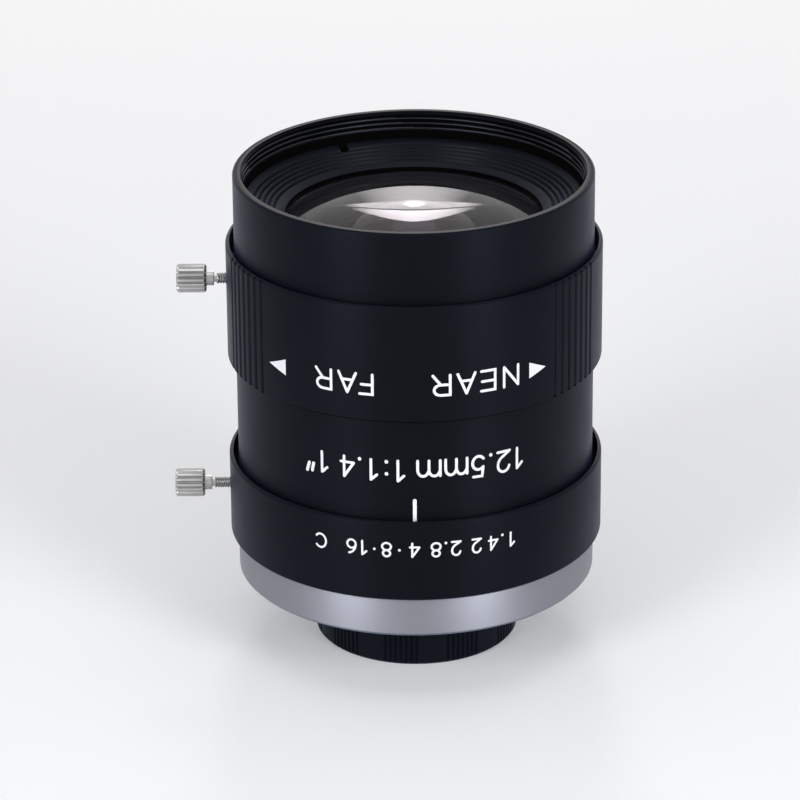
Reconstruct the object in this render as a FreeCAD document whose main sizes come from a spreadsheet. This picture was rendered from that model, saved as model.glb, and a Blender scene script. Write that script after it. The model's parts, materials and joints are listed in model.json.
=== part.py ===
import FreeCAD, Part
import math
import os
import re

import Sketcher

# A machine vision lens with a C-mount, standing on its rear cap with the front glass up.
# The optical axis is Z, and the origin is on it in the flange plane that meets the camera.
# Lengths are in millimetres and angles in degrees. A height is measured from the flange.
# A direction is the angle from +X towards +Y; the engraved side faces -Y.

Vector = FreeCAD.Vector
doc = FreeCAD.newDocument("MachineVisionLens")

SIZES = [
    # Heights of the main pieces, from the flange up
    ("mount_ring_length", 6.1),
    ("aperture_ring_length", 12.0),
    ("plain_barrel_length", 15.08),
    ("focus_ring_length", 17.06),
    ("plain_tube_length", 10.27),
    # Front tube and its filter thread
    ("tube_wall", 1.4),
    ("rim_bevel", 0.3),
    ("filter_bore_depth", 4.0),
    ("head_bore_step", 0.3),
    ("head_depth", 10.56),
    # Ribbed ring that holds the front glass
    ("front_seat_width", 1.8),
    ("front_cone_drop", 2.4),
    ("front_lip", 0.45),
    ("ring_relief", 0.3),
    ("rib_count", 5),
    ("rib_inset", 0.9),
    ("rib_pitch", 0.9),
    ("rib_half_width", 0.17),
    ("rib_depth", 0.3),
    ("spanner_notch_width", 1.3),
    ("spanner_notch_length", 1.6),
    ("spanner_notch_depth", 1.2),
    ("spanner_notch_angle", 116.0),
    # Focus ring
    ("focus_ring_wall", 1.2),
    ("focus_lip_gap", 0.65),
    ("focus_lip_depth", 3.0),
    ("focus_flange_length", 4.2),
    ("ring_top_bevel", 0.3),
    ("ring_bottom_bevel", 0.25),
    ("grip_groove_depth", 0.34),
    ("grip_groove_half_width", 0.36),
    ("grip_groove_taper", 0.14),
    ("grip_groove_count", 7),
    ("grip_group_angle", 20.4),
    ("grip_first_angle", -43.2),
    ("grip_group_count", 3),
    # Focus mechanism
    ("journal_step", 0.9),
    ("keeper_length", 0.95),
    ("keeper_inset", 0.2),
    ("keeper_thread_step", 0.4),
    ("focus_travel", 1.6),
    ("barrel_top_gap", 0.3),
    ("focus_swing_angle", 72.0),
    ("stop_screw_r", 0.5),
    ("stop_screw_drop", 1.1),
    ("stop_screw_sink", 0.25),
    ("stop_groove_depth", 0.75),
    ("stop_groove_floor_gap", 0.15),
    ("stop_screw_angle", 57.0),
    # Fixed barrel
    ("slide_r", 22.4),
    ("barrel_wall", 3.1),
    ("slide_bore_lead", 13.5),
    ("rear_bore_step", 0.9),
    ("spigot_step", 1.2),
    ("spigot_gap", 0.2),
    ("guide_pin_r", 1.0),
    ("guide_pin_sink", 2.0),
    ("guide_pin_reach", 1.7),
    ("guide_pin_drop", 4.4),
    ("guide_slot_gap", 0.2),
    ("guide_slot_length", 8.0),
    ("guide_pin_count", 3),
    # Aperture ring
    ("aperture_ring_wall", 1.3),
    ("aperture_journal_step", 0.6),
    ("aperture_lip_gap", 0.7),
    ("aperture_lip_depth", 1.7),
    ("drive_screw_r", 1.0),
    ("drive_screw_height", 5.35),
    ("drive_screw_reach", 0.5),
    ("drive_screw_sink", 0.3),
    ("drive_angle", 90.0),
    ("aperture_open_angle", 27.5),
    ("aperture_close_angle", 29.0),
    # Mount ring with the C-mount stub
    ("mount_ring_step", 0.2),
    ("mount_bevel", 0.5),
    ("mount_floor", 2.1),
    ("stub_r", 12.7),
    ("stub_length", 4.0),
    ("stub_wall", 1.4),
    ("stub_bevel", 0.4),
    # Screws that join the mount ring to the barrel
    ("mount_screw_count", 3),
    ("mount_screw_r", 0.8),
    ("mount_screw_head_r", 1.45),
    ("mount_screw_head_depth", 0.65),
    ("mount_screw_length", 4.6),
    ("mount_screw_sink", 0.05),
    ("mount_screw_tip_gap", 0.4),
    ("mount_screw_angle", 30.0),
    # Knurled lock screws and their pads
    ("lock_head_r", 2.05),
    ("lock_head_length", 4.2),
    ("lock_head_bevel", 0.25),
    ("lock_collar_step", 0.25),
    ("lock_collar_length", 1.05),
    ("lock_neck_step", 0.25),
    ("lock_neck_length", 0.4),
    ("lock_thread_r", 0.8),
    ("knurl_count", 16),
    ("knurl_depth", 0.28),
    ("knurl_half_width", 0.24),
    ("focus_lock_drop", 2.99),
    ("focus_lock_thread", 3.3),
    ("focus_lock_shown", 1.75),
    ("aperture_lock_height", 6.35),
    ("aperture_lock_thread", 3.9),
    ("aperture_lock_shown", 2.65),
    ("pad_step", 0.1),
    ("pad_gap", 0.02),
    # Inner lens barrel and the front group
    ("head_length", 2.0),
    ("second_seat_depth", 9.81),
    ("third_seat_height", 3.0),
    ("iris_shelf_depth", 18.8),
    ("slide_end_drop", 0.7),
    ("barrel_tail_step", 3.8),
    ("barrel_tail_length", 2.1),
    ("barrel_tail_wall", 1.1),
    ("front_glass_wall", 2.4),
    ("front_glass_front_radius", 60.0),
    ("front_glass_thickness", 2.2),
    ("front_glass_back_radius", 17.5),
    ("front_glass_hollow_r", 14.0),
    ("second_glass_step", 4.5),
    ("second_glass_front_radius", 45.0),
    ("second_glass_thickness", 1.8),
    ("second_glass_back_radius", 13.5),
    ("second_glass_hollow_r", 10.5),
    ("third_glass_step", 3.5),
    ("third_glass_front_radius", 22.0),
    ("third_glass_edge", 1.23),
    ("third_glass_back_radius", 60.0),
    ("third_seat_width", 1.0),
    ("third_ring_length", 1.2),
    ("spacer_wall", 1.2),
    # Diaphragm
    ("iris_depth", 3.1),
    ("plate_thickness", 1.0),
    ("plate_rim_wall", 0.55),
    ("stop_r", 5.2),
    ("blade_count", 6),
    ("blade_thickness", 0.11),
    ("blade_pitch", 0.16),
    ("blade_top_gap", 0.02),
    ("blade_stop_gap", 0.1),
    ("blade_pivot_gap", 2.2),
    ("blade_span_angle", 118.0),
    ("blade_pivot_inset", 3.7),
    ("blade_eye_r", 1.2),
    ("blade_neck_lap", 1.5),
    ("blade_pin_r", 0.5),
    ("pivot_top_gap", 0.2),
    ("drive_pin_gap", 0.08),
    ("lever_length", 5.0),
    ("lever_angle", -110.0),
    ("blade_ratio", 0.55),
    ("cam_thickness", 0.88),
    ("cam_inner_step", 0.7),
    ("cam_slot_spare_angle", 0.5),
    ("cam_arm_half_width", 2.6),
    ("cam_tail_gap", 0.6),
    ("cam_tail_wall", 1.4),
    ("cam_tail_reach", 2.6),
    ("cam_slot_end_gap", 0.3),
    ("window_spare_angle", 1.5),
    ("window_gap", 0.3),
    # Rear cell and the rear group
    ("cell_flange_length", 1.7),
    ("cell_body_step", 1.9),
    ("cell_step_gap", 4.6),
    ("cell_nose_gap", 0.7),
    ("cell_wall", 1.6),
    ("cell_lip", 0.8),
    ("cell_seat_depth", 2.1),
    ("rear_seat_width", 0.8),
    ("hollow_rim_width", 1.5),
    ("fourth_front_radius", 20.0),
    ("fourth_thickness", 1.4),
    ("cement_radius", 14.0),
    ("cement_gap", 0.01),
    ("fifth_edge", 0.91),
    ("fifth_back_radius", 18.0),
    ("sixth_air", 2.04),
    ("sixth_front_radius", 40.0),
    ("sixth_edge", 1.82),
    ("sixth_back_radius", 24.0),
    ("seventh_air", 5.4),
    ("seventh_front_radius", 22.0),
    ("seventh_thickness", 3.6),
    ("seventh_back_radius", 60.0),
    ("rear_ring_length", 1.2),
    ("rear_ring_step", 0.1),
    # Rear cap
    ("cap_wall", 1.27),
    ("cap_length", 10.03),
    ("cap_gap", 0.65),
    ("cap_floor", 1.5),
    ("cap_bevel", 0.4),
    ("cap_groove_count", 7),
    ("cap_groove_angle", 3.0),
    ("cap_group_count", 10),
    ("cap_groove_depth", 0.28),
    ("cap_groove_half_width", 0.25),
    ("cap_first_angle", -108.0),
    # Clearances, and how far a cutting tool runs past what it cuts
    ("running_gap", 0.05),
    ("fit_gap", 0.02),
    ("end_gap", 0.05),
    ("cut_margin", 0.5),
    ("groove_margin", 0.2),
]

# Heights and radii that follow from the sizes above
PLACES = [
    # Radii, from the sliding surface of the inner barrel outwards
    ("barrel_r", "slide_r + barrel_wall"),
    ("tube_r", "barrel_r"),
    ("focus_ring_r", "tube_r + focus_ring_wall"),
    ("focus_lip_r", "tube_r + focus_lip_gap"),
    ("journal_r", "tube_r - journal_step"),
    ("keeper_r", "tube_r - keeper_inset"),
    ("keeper_thread_r", "journal_r - keeper_thread_step"),
    ("stop_groove_r", "journal_r - stop_groove_depth"),
    ("stop_screw_inner_r", "stop_groove_r + stop_groove_floor_gap"),
    ("filter_bore_r", "tube_r - tube_wall"),
    ("head_bore_r", "filter_bore_r - head_bore_step"),
    ("head_r", "head_bore_r - running_gap"),
    ("rear_bore_r", "slide_r - rear_bore_step"),
    ("aperture_journal_r", "barrel_r - aperture_journal_step"),
    ("aperture_ring_r", "barrel_r + aperture_ring_wall"),
    ("aperture_lip_r", "barrel_r + aperture_lip_gap"),
    ("spigot_r", "aperture_journal_r - spigot_step"),
    ("mount_ring_r", "barrel_r + mount_ring_step"),
    ("mount_screw_circle_r", "(rear_bore_r + spigot_r) / 2"),
    ("guide_pin_inner_r", "slide_r - guide_pin_sink"),
    ("guide_pin_outer_r", "slide_r + guide_pin_reach"),
    ("guide_slot_r", "guide_pin_outer_r + guide_slot_gap"),
    # Radii inside the inner barrel
    ("front_glass_r", "slide_r - front_glass_wall"),
    ("front_clear_r", "front_glass_r - front_seat_width"),
    ("rib_first_r", "head_bore_r - rib_inset"),
    ("second_glass_r", "front_glass_r - second_glass_step"),
    ("spacer_inner_r", "second_glass_r - spacer_wall"),
    ("third_glass_r", "second_glass_r - third_glass_step"),
    ("third_clear_r", "third_glass_r - third_seat_width"),
    ("barrel_tail_r", "slide_r - barrel_tail_step"),
    ("iris_bore_r", "barrel_tail_r - barrel_tail_wall"),
    ("cell_flange_r", "iris_bore_r - running_gap"),
    ("plate_rim_inner_r", "cell_flange_r - plate_rim_wall"),
    ("blade_pivot_r", "plate_rim_inner_r - blade_pivot_inset"),
    ("blade_outer_r", "blade_pivot_r - blade_pivot_gap"),
    ("blade_inner_r", "stop_r + blade_stop_gap"),
    ("cam_inner_r", "stop_r + cam_inner_step"),
    ("cam_tail_outer_r", "rear_bore_r - cam_tail_gap"),
    ("cam_tail_inner_r", "cam_tail_outer_r - cam_tail_wall"),
    ("drive_screw_inner_r", "cam_tail_inner_r - drive_screw_reach"),
    # Radii of the stub, the rear cell in it and the cap over it
    ("stub_bore_r", "stub_r - stub_wall"),
    ("cell_nose_r", "stub_bore_r - cell_nose_gap"),
    ("cell_body_r", "cell_nose_r + cell_body_step"),
    ("rear_glass_r", "cell_nose_r - cell_wall"),
    ("rear_clear_r", "rear_glass_r - rear_seat_width"),
    ("rear_hollow_r", "rear_glass_r - hollow_rim_width"),
    ("cap_bore_r", "stub_r + cap_gap"),
    ("cap_r", "cap_bore_r + cap_wall"),
    # Radii of the lock screws
    ("lock_collar_r", "lock_thread_r + lock_collar_step"),
    ("lock_neck_r", "lock_thread_r - lock_neck_step"),
    ("pad_r", "lock_thread_r - pad_step"),
    ("focus_lock_tip_r", "focus_ring_r + focus_lock_shown - focus_lock_thread"),
    ("aperture_lock_tip_r", "aperture_ring_r + aperture_lock_shown - aperture_lock_thread"),
    # Heights of the outer pieces
    ("aperture_ring_z", "mount_ring_length + end_gap"),
    ("aperture_top_z", "aperture_ring_z + aperture_ring_length"),
    ("aperture_step_z", "aperture_top_z - aperture_lip_depth"),
    ("aperture_shoulder_z", "aperture_step_z + end_gap"),
    ("focus_ring_z", "aperture_top_z + plain_barrel_length"),
    ("focus_top_z", "focus_ring_z + focus_ring_length"),
    ("focus_flange_top_z", "focus_top_z - focus_lip_depth"),
    ("focus_flange_bottom_z", "focus_flange_top_z - focus_flange_length"),
    ("front_rim_z", "focus_top_z + plain_tube_length"),
    ("tube_shoulder_z", "focus_flange_top_z + end_gap"),
    ("keeper_top_z", "focus_flange_bottom_z - end_gap"),
    ("keeper_bottom_z", "keeper_top_z - keeper_length"),
    ("barrel_top_z", "keeper_bottom_z - focus_travel / 2 - barrel_top_gap"),
    ("spigot_z", "mount_floor + spigot_gap"),
    ("stop_screw_z", "focus_flange_top_z - stop_screw_drop"),
    ("focus_lock_z", "focus_flange_top_z - focus_lock_drop"),
    ("aperture_lock_z", "aperture_ring_z + aperture_lock_height"),
    ("drive_screw_z", "aperture_ring_z + drive_screw_height"),
    ("guide_pin_z", "barrel_top_z - guide_pin_drop"),
    # Heights of the inner barrel and the front group
    ("cone_top_z", "front_rim_z - filter_bore_depth"),
    ("cone_bottom_z", "cone_top_z - front_cone_drop"),
    ("lip_bottom_z", "cone_bottom_z - front_lip"),
    ("head_seat_z", "front_rim_z - head_depth"),
    ("head_top_z", "head_seat_z + head_length"),
    ("second_seat_z", "head_seat_z - second_seat_depth"),
    ("iris_shelf_z", "head_seat_z - iris_shelf_depth"),
    ("slide_bottom_z", "iris_shelf_z - slide_end_drop"),
    ("slide_bore_z", "slide_bottom_z - slide_bore_lead"),
    ("front_glass_vertex_z", "lip_bottom_z - fit_gap + front_glass_front_radius"
        " - sqrt(front_glass_front_radius ^ 2 - front_clear_r ^ 2)"),
    ("front_glass_hollow_z", "front_glass_vertex_z - front_glass_thickness"),
    ("front_glass_back_z", "front_glass_hollow_z - front_glass_back_radius"
        " + sqrt(front_glass_back_radius ^ 2 - front_glass_hollow_r ^ 2)"),
    ("second_glass_hollow_z", "second_seat_z + second_glass_back_radius"
        " - sqrt(second_glass_back_radius ^ 2 - second_glass_hollow_r ^ 2)"),
    ("second_glass_vertex_z", "second_glass_hollow_z + second_glass_thickness"),
    ("spacer_bottom_z", "second_glass_vertex_z + fit_gap - second_glass_front_radius"
        " + sqrt(second_glass_front_radius ^ 2 - spacer_inner_r ^ 2)"),
    ("third_seat_z", "iris_shelf_z + third_seat_height"),
    ("third_glass_back_z", "third_seat_z + fit_gap - third_glass_back_radius"
        " + sqrt(third_glass_back_radius ^ 2 - third_clear_r ^ 2)"),
    ("third_glass_vertex_z", "third_glass_back_z + third_glass_back_radius"
        " - sqrt(third_glass_back_radius ^ 2 - third_glass_r ^ 2) + third_glass_edge"
        " + third_glass_front_radius"
        " - sqrt(third_glass_front_radius ^ 2 - third_glass_r ^ 2)"),
    ("third_ring_z", "third_glass_vertex_z + fit_gap - third_glass_front_radius"
        " + sqrt(third_glass_front_radius ^ 2 - third_clear_r ^ 2)"),
    # Heights of the diaphragm
    ("cell_top_z", "iris_shelf_z - iris_depth"),
    ("barrel_tail_z", "cell_top_z - barrel_tail_length"),
    ("plate_bottom_z", "iris_shelf_z - plate_thickness"),
    ("cam_bottom_z", "cell_top_z + running_gap"),
    ("cam_top_z", "cam_bottom_z + cam_thickness"),
    ("window_top_z", "cam_top_z + window_gap"),
    ("window_bottom_z", "cell_top_z - window_gap"),
    ("cam_tail_z", "drive_screw_z - cam_tail_reach"),
    ("tail_slot_top_z", "drive_screw_z + drive_screw_r + focus_travel / 2 + cam_slot_end_gap"),
    # Angles
    ("blade_rest_angle", "blade_ratio * aperture_open_angle"),
    ("stop_groove_angle", "2 * focus_swing_angle"
        " + 2 * asin((stop_screw_r + running_gap) / journal_r) / 1 deg"),
    ("drive_slot_angle", "aperture_open_angle + aperture_close_angle"
        " + 2 * asin((drive_screw_r + running_gap) / rear_bore_r) / 1 deg"),
    ("drive_middle_angle", "drive_angle + (aperture_close_angle - aperture_open_angle) / 2"),
    ("window_angle", "aperture_open_angle + aperture_close_angle + 2 * window_spare_angle"
        " + 2 * asin(cam_arm_half_width / plate_rim_inner_r) / 1 deg"),
    # Heights of the rear cell and the rear group
    ("cell_flange_bottom_z", "cell_top_z - cell_flange_length"),
    ("cell_seat_z", "cell_top_z - cell_seat_depth"),
    ("cell_step_z", "mount_floor + focus_travel / 2 + cell_step_gap"),
    ("fourth_hollow_z", "cell_seat_z - fit_gap - fourth_front_radius"
        " + sqrt(fourth_front_radius ^ 2 - rear_hollow_r ^ 2)"),
    ("cement_z", "fourth_hollow_z - fourth_thickness"),
    ("fifth_back_z", "cement_z - cement_gap - cement_radius"
        " + sqrt(cement_radius ^ 2 - rear_glass_r ^ 2) - fifth_edge - fifth_back_radius"
        " + sqrt(fifth_back_radius ^ 2 - rear_glass_r ^ 2)"),
    ("rear_spacer_top_z", "fifth_back_z - fit_gap + fifth_back_radius"
        " - sqrt(fifth_back_radius ^ 2 - rear_clear_r ^ 2)"),
    ("sixth_front_z", "fifth_back_z - sixth_air"),
    ("rear_spacer_bottom_z", "sixth_front_z + fit_gap - sixth_front_radius"
        " + sqrt(sixth_front_radius ^ 2 - rear_clear_r ^ 2)"),
    ("sixth_back_z", "sixth_front_z - sixth_front_radius"
        " + sqrt(sixth_front_radius ^ 2 - rear_glass_r ^ 2) - sixth_edge - sixth_back_radius"
        " + sqrt(sixth_back_radius ^ 2 - rear_glass_r ^ 2)"),
    ("last_spacer_top_z", "sixth_back_z - fit_gap + sixth_back_radius"
        " - sqrt(sixth_back_radius ^ 2 - rear_clear_r ^ 2)"),
    ("seventh_front_z", "sixth_back_z - seventh_air"),
    ("last_spacer_bottom_z", "seventh_front_z + fit_gap - seventh_front_radius"
        " + sqrt(seventh_front_radius ^ 2 - rear_clear_r ^ 2)"),
    ("seventh_back_z", "seventh_front_z - seventh_thickness"),
    ("seventh_rim_z", "seventh_back_z - seventh_back_radius"
        " + sqrt(seventh_back_radius ^ 2 - rear_hollow_r ^ 2)"),
    ("rear_ring_z", "seventh_rim_z - fit_gap - rear_ring_length"),
    ("cell_bottom_z", "rear_ring_z - cell_lip"),
]

# Sketcher's numbers for the points of a line, arc or circle
START, END, CENTRE = range(1, 4)


# Spreadsheets

def make_sheet(name, rows):
    """A spreadsheet with one named value on each line."""
    sheet = doc.addObject("Spreadsheet::Sheet", name)
    for line, (alias, content) in enumerate(rows, start=1):
        sheet.set(f"A{line}", alias)
        sheet.set(f"B{line}", content)
        sheet.setAlias(f"B{line}", alias)
    sheet.recompute()
    return sheet


def bound(text):
    """An expression with each named value given its sheet."""
    def with_sheet(found):
        word = found.group(0)
        if word in SIZE_NAMES:
            return "Sizes." + word
        if word in PLACE_NAMES:
            return "Places." + word
        return word
    return re.sub(r"[a-z_]+[a-z_0-9]*", with_sheet, text)


def value(text):
    """What an expression comes to, worked out in a spare cell."""
    spare.set("A1", "=" + bound(text))
    spare.recompute()
    return float(spare.get("A1"))


SIZE_NAMES = {name for name, number in SIZES}
PLACE_NAMES = {name for name, text in PLACES}
sizes = make_sheet("Sizes", [(name, str(number)) for name, number in SIZES])
make_sheet("Places", [(name, "=" + bound(text)) for name, text in PLACES])
spare = doc.addObject("Spreadsheet::Sheet", "Spare")
doc.recompute()


# Sketches

def origin_feature(body, role):
    """A body's own origin plane or axis."""
    return next(item for item in body.Origin.OriginFeatures if item.Role == role)


def new_sketch(body, name, role, lift="0", turn="0"):
    """A sketch on an origin plane, lifted along its normal and turned about the optical axis."""
    sketch = body.newObject("Sketcher::SketchObject", name)
    sketch.AttachmentSupport = (origin_feature(body, role), [""])
    sketch.MapMode = "FlatFace"
    about = Vector(0, 0, 1) if role == "XY_Plane" else Vector(0, 1, 0)
    sketch.AttachmentOffset = FreeCAD.Placement(
        Vector(0, 0, value(lift)), FreeCAD.Rotation(about, value(turn)))
    if lift != "0":
        sketch.setExpression(".AttachmentOffset.Base.z", bound(lift))
    if turn != "0":
        sketch.setExpression(".AttachmentOffset.Rotation.Angle", bound(turn))
    return sketch


def hold(sketch, kind, geometry, corner, text):
    """Fix one coordinate of a point of the sketch to an expression."""
    if text == "0":
        axis = -2 if kind == "DistanceX" else -1
        sketch.addConstraint(Sketcher.Constraint("PointOnObject", geometry, corner, axis))
        return
    number = sketch.addConstraint(
        Sketcher.Constraint(kind, -1, 1, geometry, corner, value(text)))
    sketch.setExpression(f"Constraints[{number}]", bound(text))


def draw(sketch, outline):
    """A closed outline of points (x, y), each a pair of expressions.

    An arc to the next point is written between two points as (turn, x, y, side) of its centre.
    turn is "left" or "right" as the outline is followed. A coordinate that the arc itself
    decides is None, and side says if that point is above or below the centre, 1 or -1.
    """
    points = [item for item in outline if len(item) == 2]
    bends = {}
    for place, item in enumerate(outline):
        if len(item) == 4:
            bends[sum(1 for other in outline[:place] if len(other) == 2) - 1] = item
    spots = []
    for x, y in points:
        spots.append([value(x), None if y is None else value(y)])
    count = len(points)
    for start, (turn, x, y, side) in bends.items():
        end = (start + 1) % count
        known, free = (start, end) if spots[end][1] is None else (end, start)
        centre = (value(x), value(y))
        radius = math.hypot(spots[known][0] - centre[0], spots[known][1] - centre[1])
        across = spots[free][0] - centre[0]
        spots[free][1] = centre[1] + side * math.sqrt(radius ** 2 - across ** 2)
    starts, ends = {}, {}
    for start in range(count):
        here = Vector(*spots[start], 0)
        there = Vector(*spots[(start + 1) % count], 0)
        if start not in bends:
            line = sketch.addGeometry(Part.LineSegment(here, there), False)
            starts[start], ends[start] = (line, START), (line, END)
            continue
        turn, x, y, side = bends[start]
        centre = Vector(value(x), value(y), 0)
        circle = Part.Circle(centre, Vector(0, 0, 1), (here - centre).Length)
        first, last = (here, there) if turn == "left" else (there, here)
        angles = [math.atan2(spot.y - centre.y, spot.x - centre.x) for spot in (first, last)]
        arc = sketch.addGeometry(Part.ArcOfCircle(circle, *angles), False)
        starts[start] = (arc, START if turn == "left" else END)
        ends[start] = (arc, END if turn == "left" else START)
    for start in range(count):
        sketch.addConstraint(
            Sketcher.Constraint("Coincident", *ends[start], *starts[(start + 1) % count]))
    for start, (x, y) in enumerate(points):
        hold(sketch, "DistanceX", *starts[start], x)
        if y is not None:
            hold(sketch, "DistanceY", *starts[start], y)
    for start, (turn, x, y, side) in bends.items():
        hold(sketch, "DistanceX", starts[start][0], CENTRE, x)
        hold(sketch, "DistanceY", starts[start][0], CENTRE, y)


def draw_circle(sketch, x, y, radius):
    """A circle held by its centre and radius."""
    circle = sketch.addGeometry(
        Part.Circle(Vector(value(x), value(y), 0), Vector(0, 0, 1), value(radius)), False)
    hold(sketch, "DistanceX", circle, CENTRE, x)
    hold(sketch, "DistanceY", circle, CENTRE, y)
    number = sketch.addConstraint(Sketcher.Constraint("Radius", circle, value(radius)))
    sketch.setExpression(f"Constraints[{number}]", bound(radius))


# Features

def set_bound(item, name, text):
    """Bind one property of an object to an expression."""
    item.setExpression(name, bound(text))


def turned(label, outline):
    """A body turned from a half section about its own Z axis."""
    body = doc.addObject("PartDesign::Body", label)
    body.Label = label
    sketch = new_sketch(body, label + "_section", "XZ_Plane")
    draw(sketch, outline)
    turning = body.newObject("PartDesign::Revolution", label + "_turning")
    turning.Profile = (sketch, [""])
    turning.ReferenceAxis = (sketch, ["V_Axis"])
    turning.Angle = 360
    return body


def ring_groove(body, name, outline, direction, sweep):
    """A groove turned part of the way round, centred on a direction."""
    sketch = new_sketch(body, name + "_section", "XZ_Plane", turn=direction)
    draw(sketch, outline)
    groove = body.newObject("PartDesign::Groove", name)
    groove.Profile = (sketch, [""])
    groove.ReferenceAxis = (sketch, ["V_Axis"])
    groove.Midplane = True
    set_bound(groove, "Angle", sweep)
    return groove


def rectangle(left, bottom, right, top):
    """The four corners of a rectangle."""
    return [(left, bottom), (right, bottom), (right, top), (left, top)]


def radial_hole(body, name, direction, height, radius, start="0"):
    """A round hole drilled outwards from a distance off the axis."""
    sketch = new_sketch(body, name + "_circle", "YZ_Plane", lift=start, turn=direction)
    draw_circle(sketch, "0", height, radius)
    hole = body.newObject("PartDesign::Pocket", name)
    hole.Profile = (sketch, [""])
    hole.Type = "ThroughAll"
    hole.Reversed = True
    return hole


def repeated(body, feature, *turns):
    """A feature repeated about Z. Each turn is (how many, the angle they fill)."""
    steps = []
    for number, (count, sweep) in enumerate(turns):
        step = doc.addObject("PartDesign::PolarPattern", f"{feature.Name}_step_{number}")
        step.Axis = (origin_feature(body, "Z_Axis"), [""])
        set_bound(step, "Angle", sweep)
        set_bound(step, "Occurrences", count)
        steps.append(step)
    pattern = body.newObject("PartDesign::MultiTransform", feature.Name + "_pattern")
    pattern.Originals = [feature]
    pattern.Transformations = steps
    body.Tip = pattern


def long_groove(body, name, outline, lift, turn, depth=None):
    """A straight groove cut down from a height, all the way or to a depth."""
    sketch = new_sketch(body, name + "_profile", "XY_Plane", lift=lift, turn=turn)
    draw(sketch, outline)
    groove = body.newObject("PartDesign::Pocket", name)
    groove.Profile = (sketch, [""])
    if depth is None:
        groove.Type = "ThroughAll"
    else:
        set_bound(groove, "Length", depth)
    return groove


def radial_pin(label, direction, height, radius, inner, outer):
    """A plain pin that points away from the optical axis."""
    pin = doc.addObject("Part::Cylinder", label)
    set_bound(pin, "Radius", radius)
    set_bound(pin, "Height", f"{outer} - ({inner})")
    angle = math.radians(value(direction))
    outwards = Vector(math.cos(angle), math.sin(angle), 0)
    pin.Placement = FreeCAD.Placement(
        outwards * value(inner) + Vector(0, 0, value(height)),
        FreeCAD.Rotation(Vector(0, 0, 1), outwards))
    return pin


def together(label, pieces):
    """Like pieces kept as one group of separate solids."""
    group = doc.addObject("Part::Compound", label)
    group.Label = label
    group.Links = pieces
    return group


# Barrel and mount

def make_mount_ring():
    body = turned("mount_ring", [
        ("stub_bore_r", "-stub_length"),
        ("stub_r - stub_bevel", "-stub_length"),
        ("stub_r", "stub_bevel - stub_length"),
        ("stub_r", "0"),
        ("mount_ring_r - mount_bevel", "0"),
        ("mount_ring_r", "mount_bevel"),
        ("mount_ring_r", "mount_ring_length"),
        ("spigot_r + fit_gap", "mount_ring_length"),
        ("spigot_r + fit_gap", "mount_floor"),
        ("stub_bore_r", "mount_floor"),
    ])
    sketch = new_sketch(body, "mount_hole_circle", "XY_Plane", turn="mount_screw_angle")
    draw_circle(sketch, "mount_screw_circle_r", "0", "mount_screw_r + running_gap")
    hole = body.newObject("PartDesign::Pocket", "mount_hole")
    hole.Profile = (sketch, [""])
    hole.Type = "ThroughAll"
    hole.Reversed = True
    repeated(body, hole, ("mount_screw_count", "360"))
    sunk = body.newObject("PartDesign::Pocket", "mount_countersink")
    sketch = new_sketch(body, "mount_countersink_circle", "XY_Plane", turn="mount_screw_angle")
    draw_circle(sketch, "mount_screw_circle_r", "0", "mount_screw_head_r + running_gap")
    sunk.Profile = (sketch, [""])
    sunk.Reversed = True
    set_bound(sunk, "Length", "mount_screw_head_depth + mount_screw_sink")
    repeated(body, sunk, ("mount_screw_count", "360"))
    return body


def make_mount_screws():
    screws = []
    for number in range(round(value("mount_screw_count"))):
        direction = math.radians(
            value("mount_screw_angle") + number * 360 / value("mount_screw_count"))
        spot = Vector(math.cos(direction), math.sin(direction), 0) * value("mount_screw_circle_r")
        head = doc.addObject("Part::Cone", f"mount_screw_head_{number}")
        set_bound(head, "Radius1", "mount_screw_head_r")
        set_bound(head, "Radius2", "mount_screw_r")
        set_bound(head, "Height", "mount_screw_head_depth")
        shank = doc.addObject("Part::Cylinder", f"mount_screw_shank_{number}")
        set_bound(shank, "Radius", "mount_screw_r")
        set_bound(shank, "Height", "mount_screw_length")
        for piece in (head, shank):
            piece.Placement.Base = spot + Vector(0, 0, value("mount_screw_sink"))
        screw = doc.addObject("Part::Fuse", f"mount_screw_{number}")
        screw.Base = head
        screw.Tool = shank
        screws.append(screw)
    return together("mount_screws", screws)


def make_fixed_barrel():
    body = turned("fixed_barrel", [
        ("rear_bore_r", "spigot_z"),
        ("spigot_r", "spigot_z"),
        ("spigot_r", "mount_ring_length"),
        ("aperture_journal_r", "mount_ring_length"),
        ("aperture_journal_r", "aperture_shoulder_z"),
        ("barrel_r", "aperture_shoulder_z"),
        ("barrel_r", "barrel_top_z"),
        ("slide_r + running_gap", "barrel_top_z"),
        ("slide_r + running_gap", "slide_bore_z"),
        ("rear_bore_r", "slide_bore_z"),
    ])
    slot = long_groove(body, "guide_slot", rectangle(
        "slide_r - cut_margin", "-guide_pin_r - running_gap",
        "guide_slot_r", "guide_pin_r + running_gap"), "barrel_top_z", "0", "guide_slot_length")
    repeated(body, slot, ("guide_pin_count", "360"))
    ring_groove(body, "drive_slot", rectangle(
        "rear_bore_r - cut_margin", "drive_screw_z - drive_screw_r - running_gap",
        "barrel_r", "drive_screw_z + drive_screw_r + running_gap"),
        "drive_middle_angle", "drive_slot_angle")
    sketch = new_sketch(
        body, "tapped_hole_circle", "XY_Plane", lift="spigot_z", turn="mount_screw_angle")
    draw_circle(sketch, "mount_screw_circle_r", "0", "mount_screw_r + fit_gap")
    hole = body.newObject("PartDesign::Pocket", "tapped_hole")
    hole.Profile = (sketch, [""])
    hole.Reversed = True
    set_bound(hole, "Length", "mount_screw_length - spigot_z + mount_screw_tip_gap")
    repeated(body, hole, ("mount_screw_count", "360"))
    return body


# Focus

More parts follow.
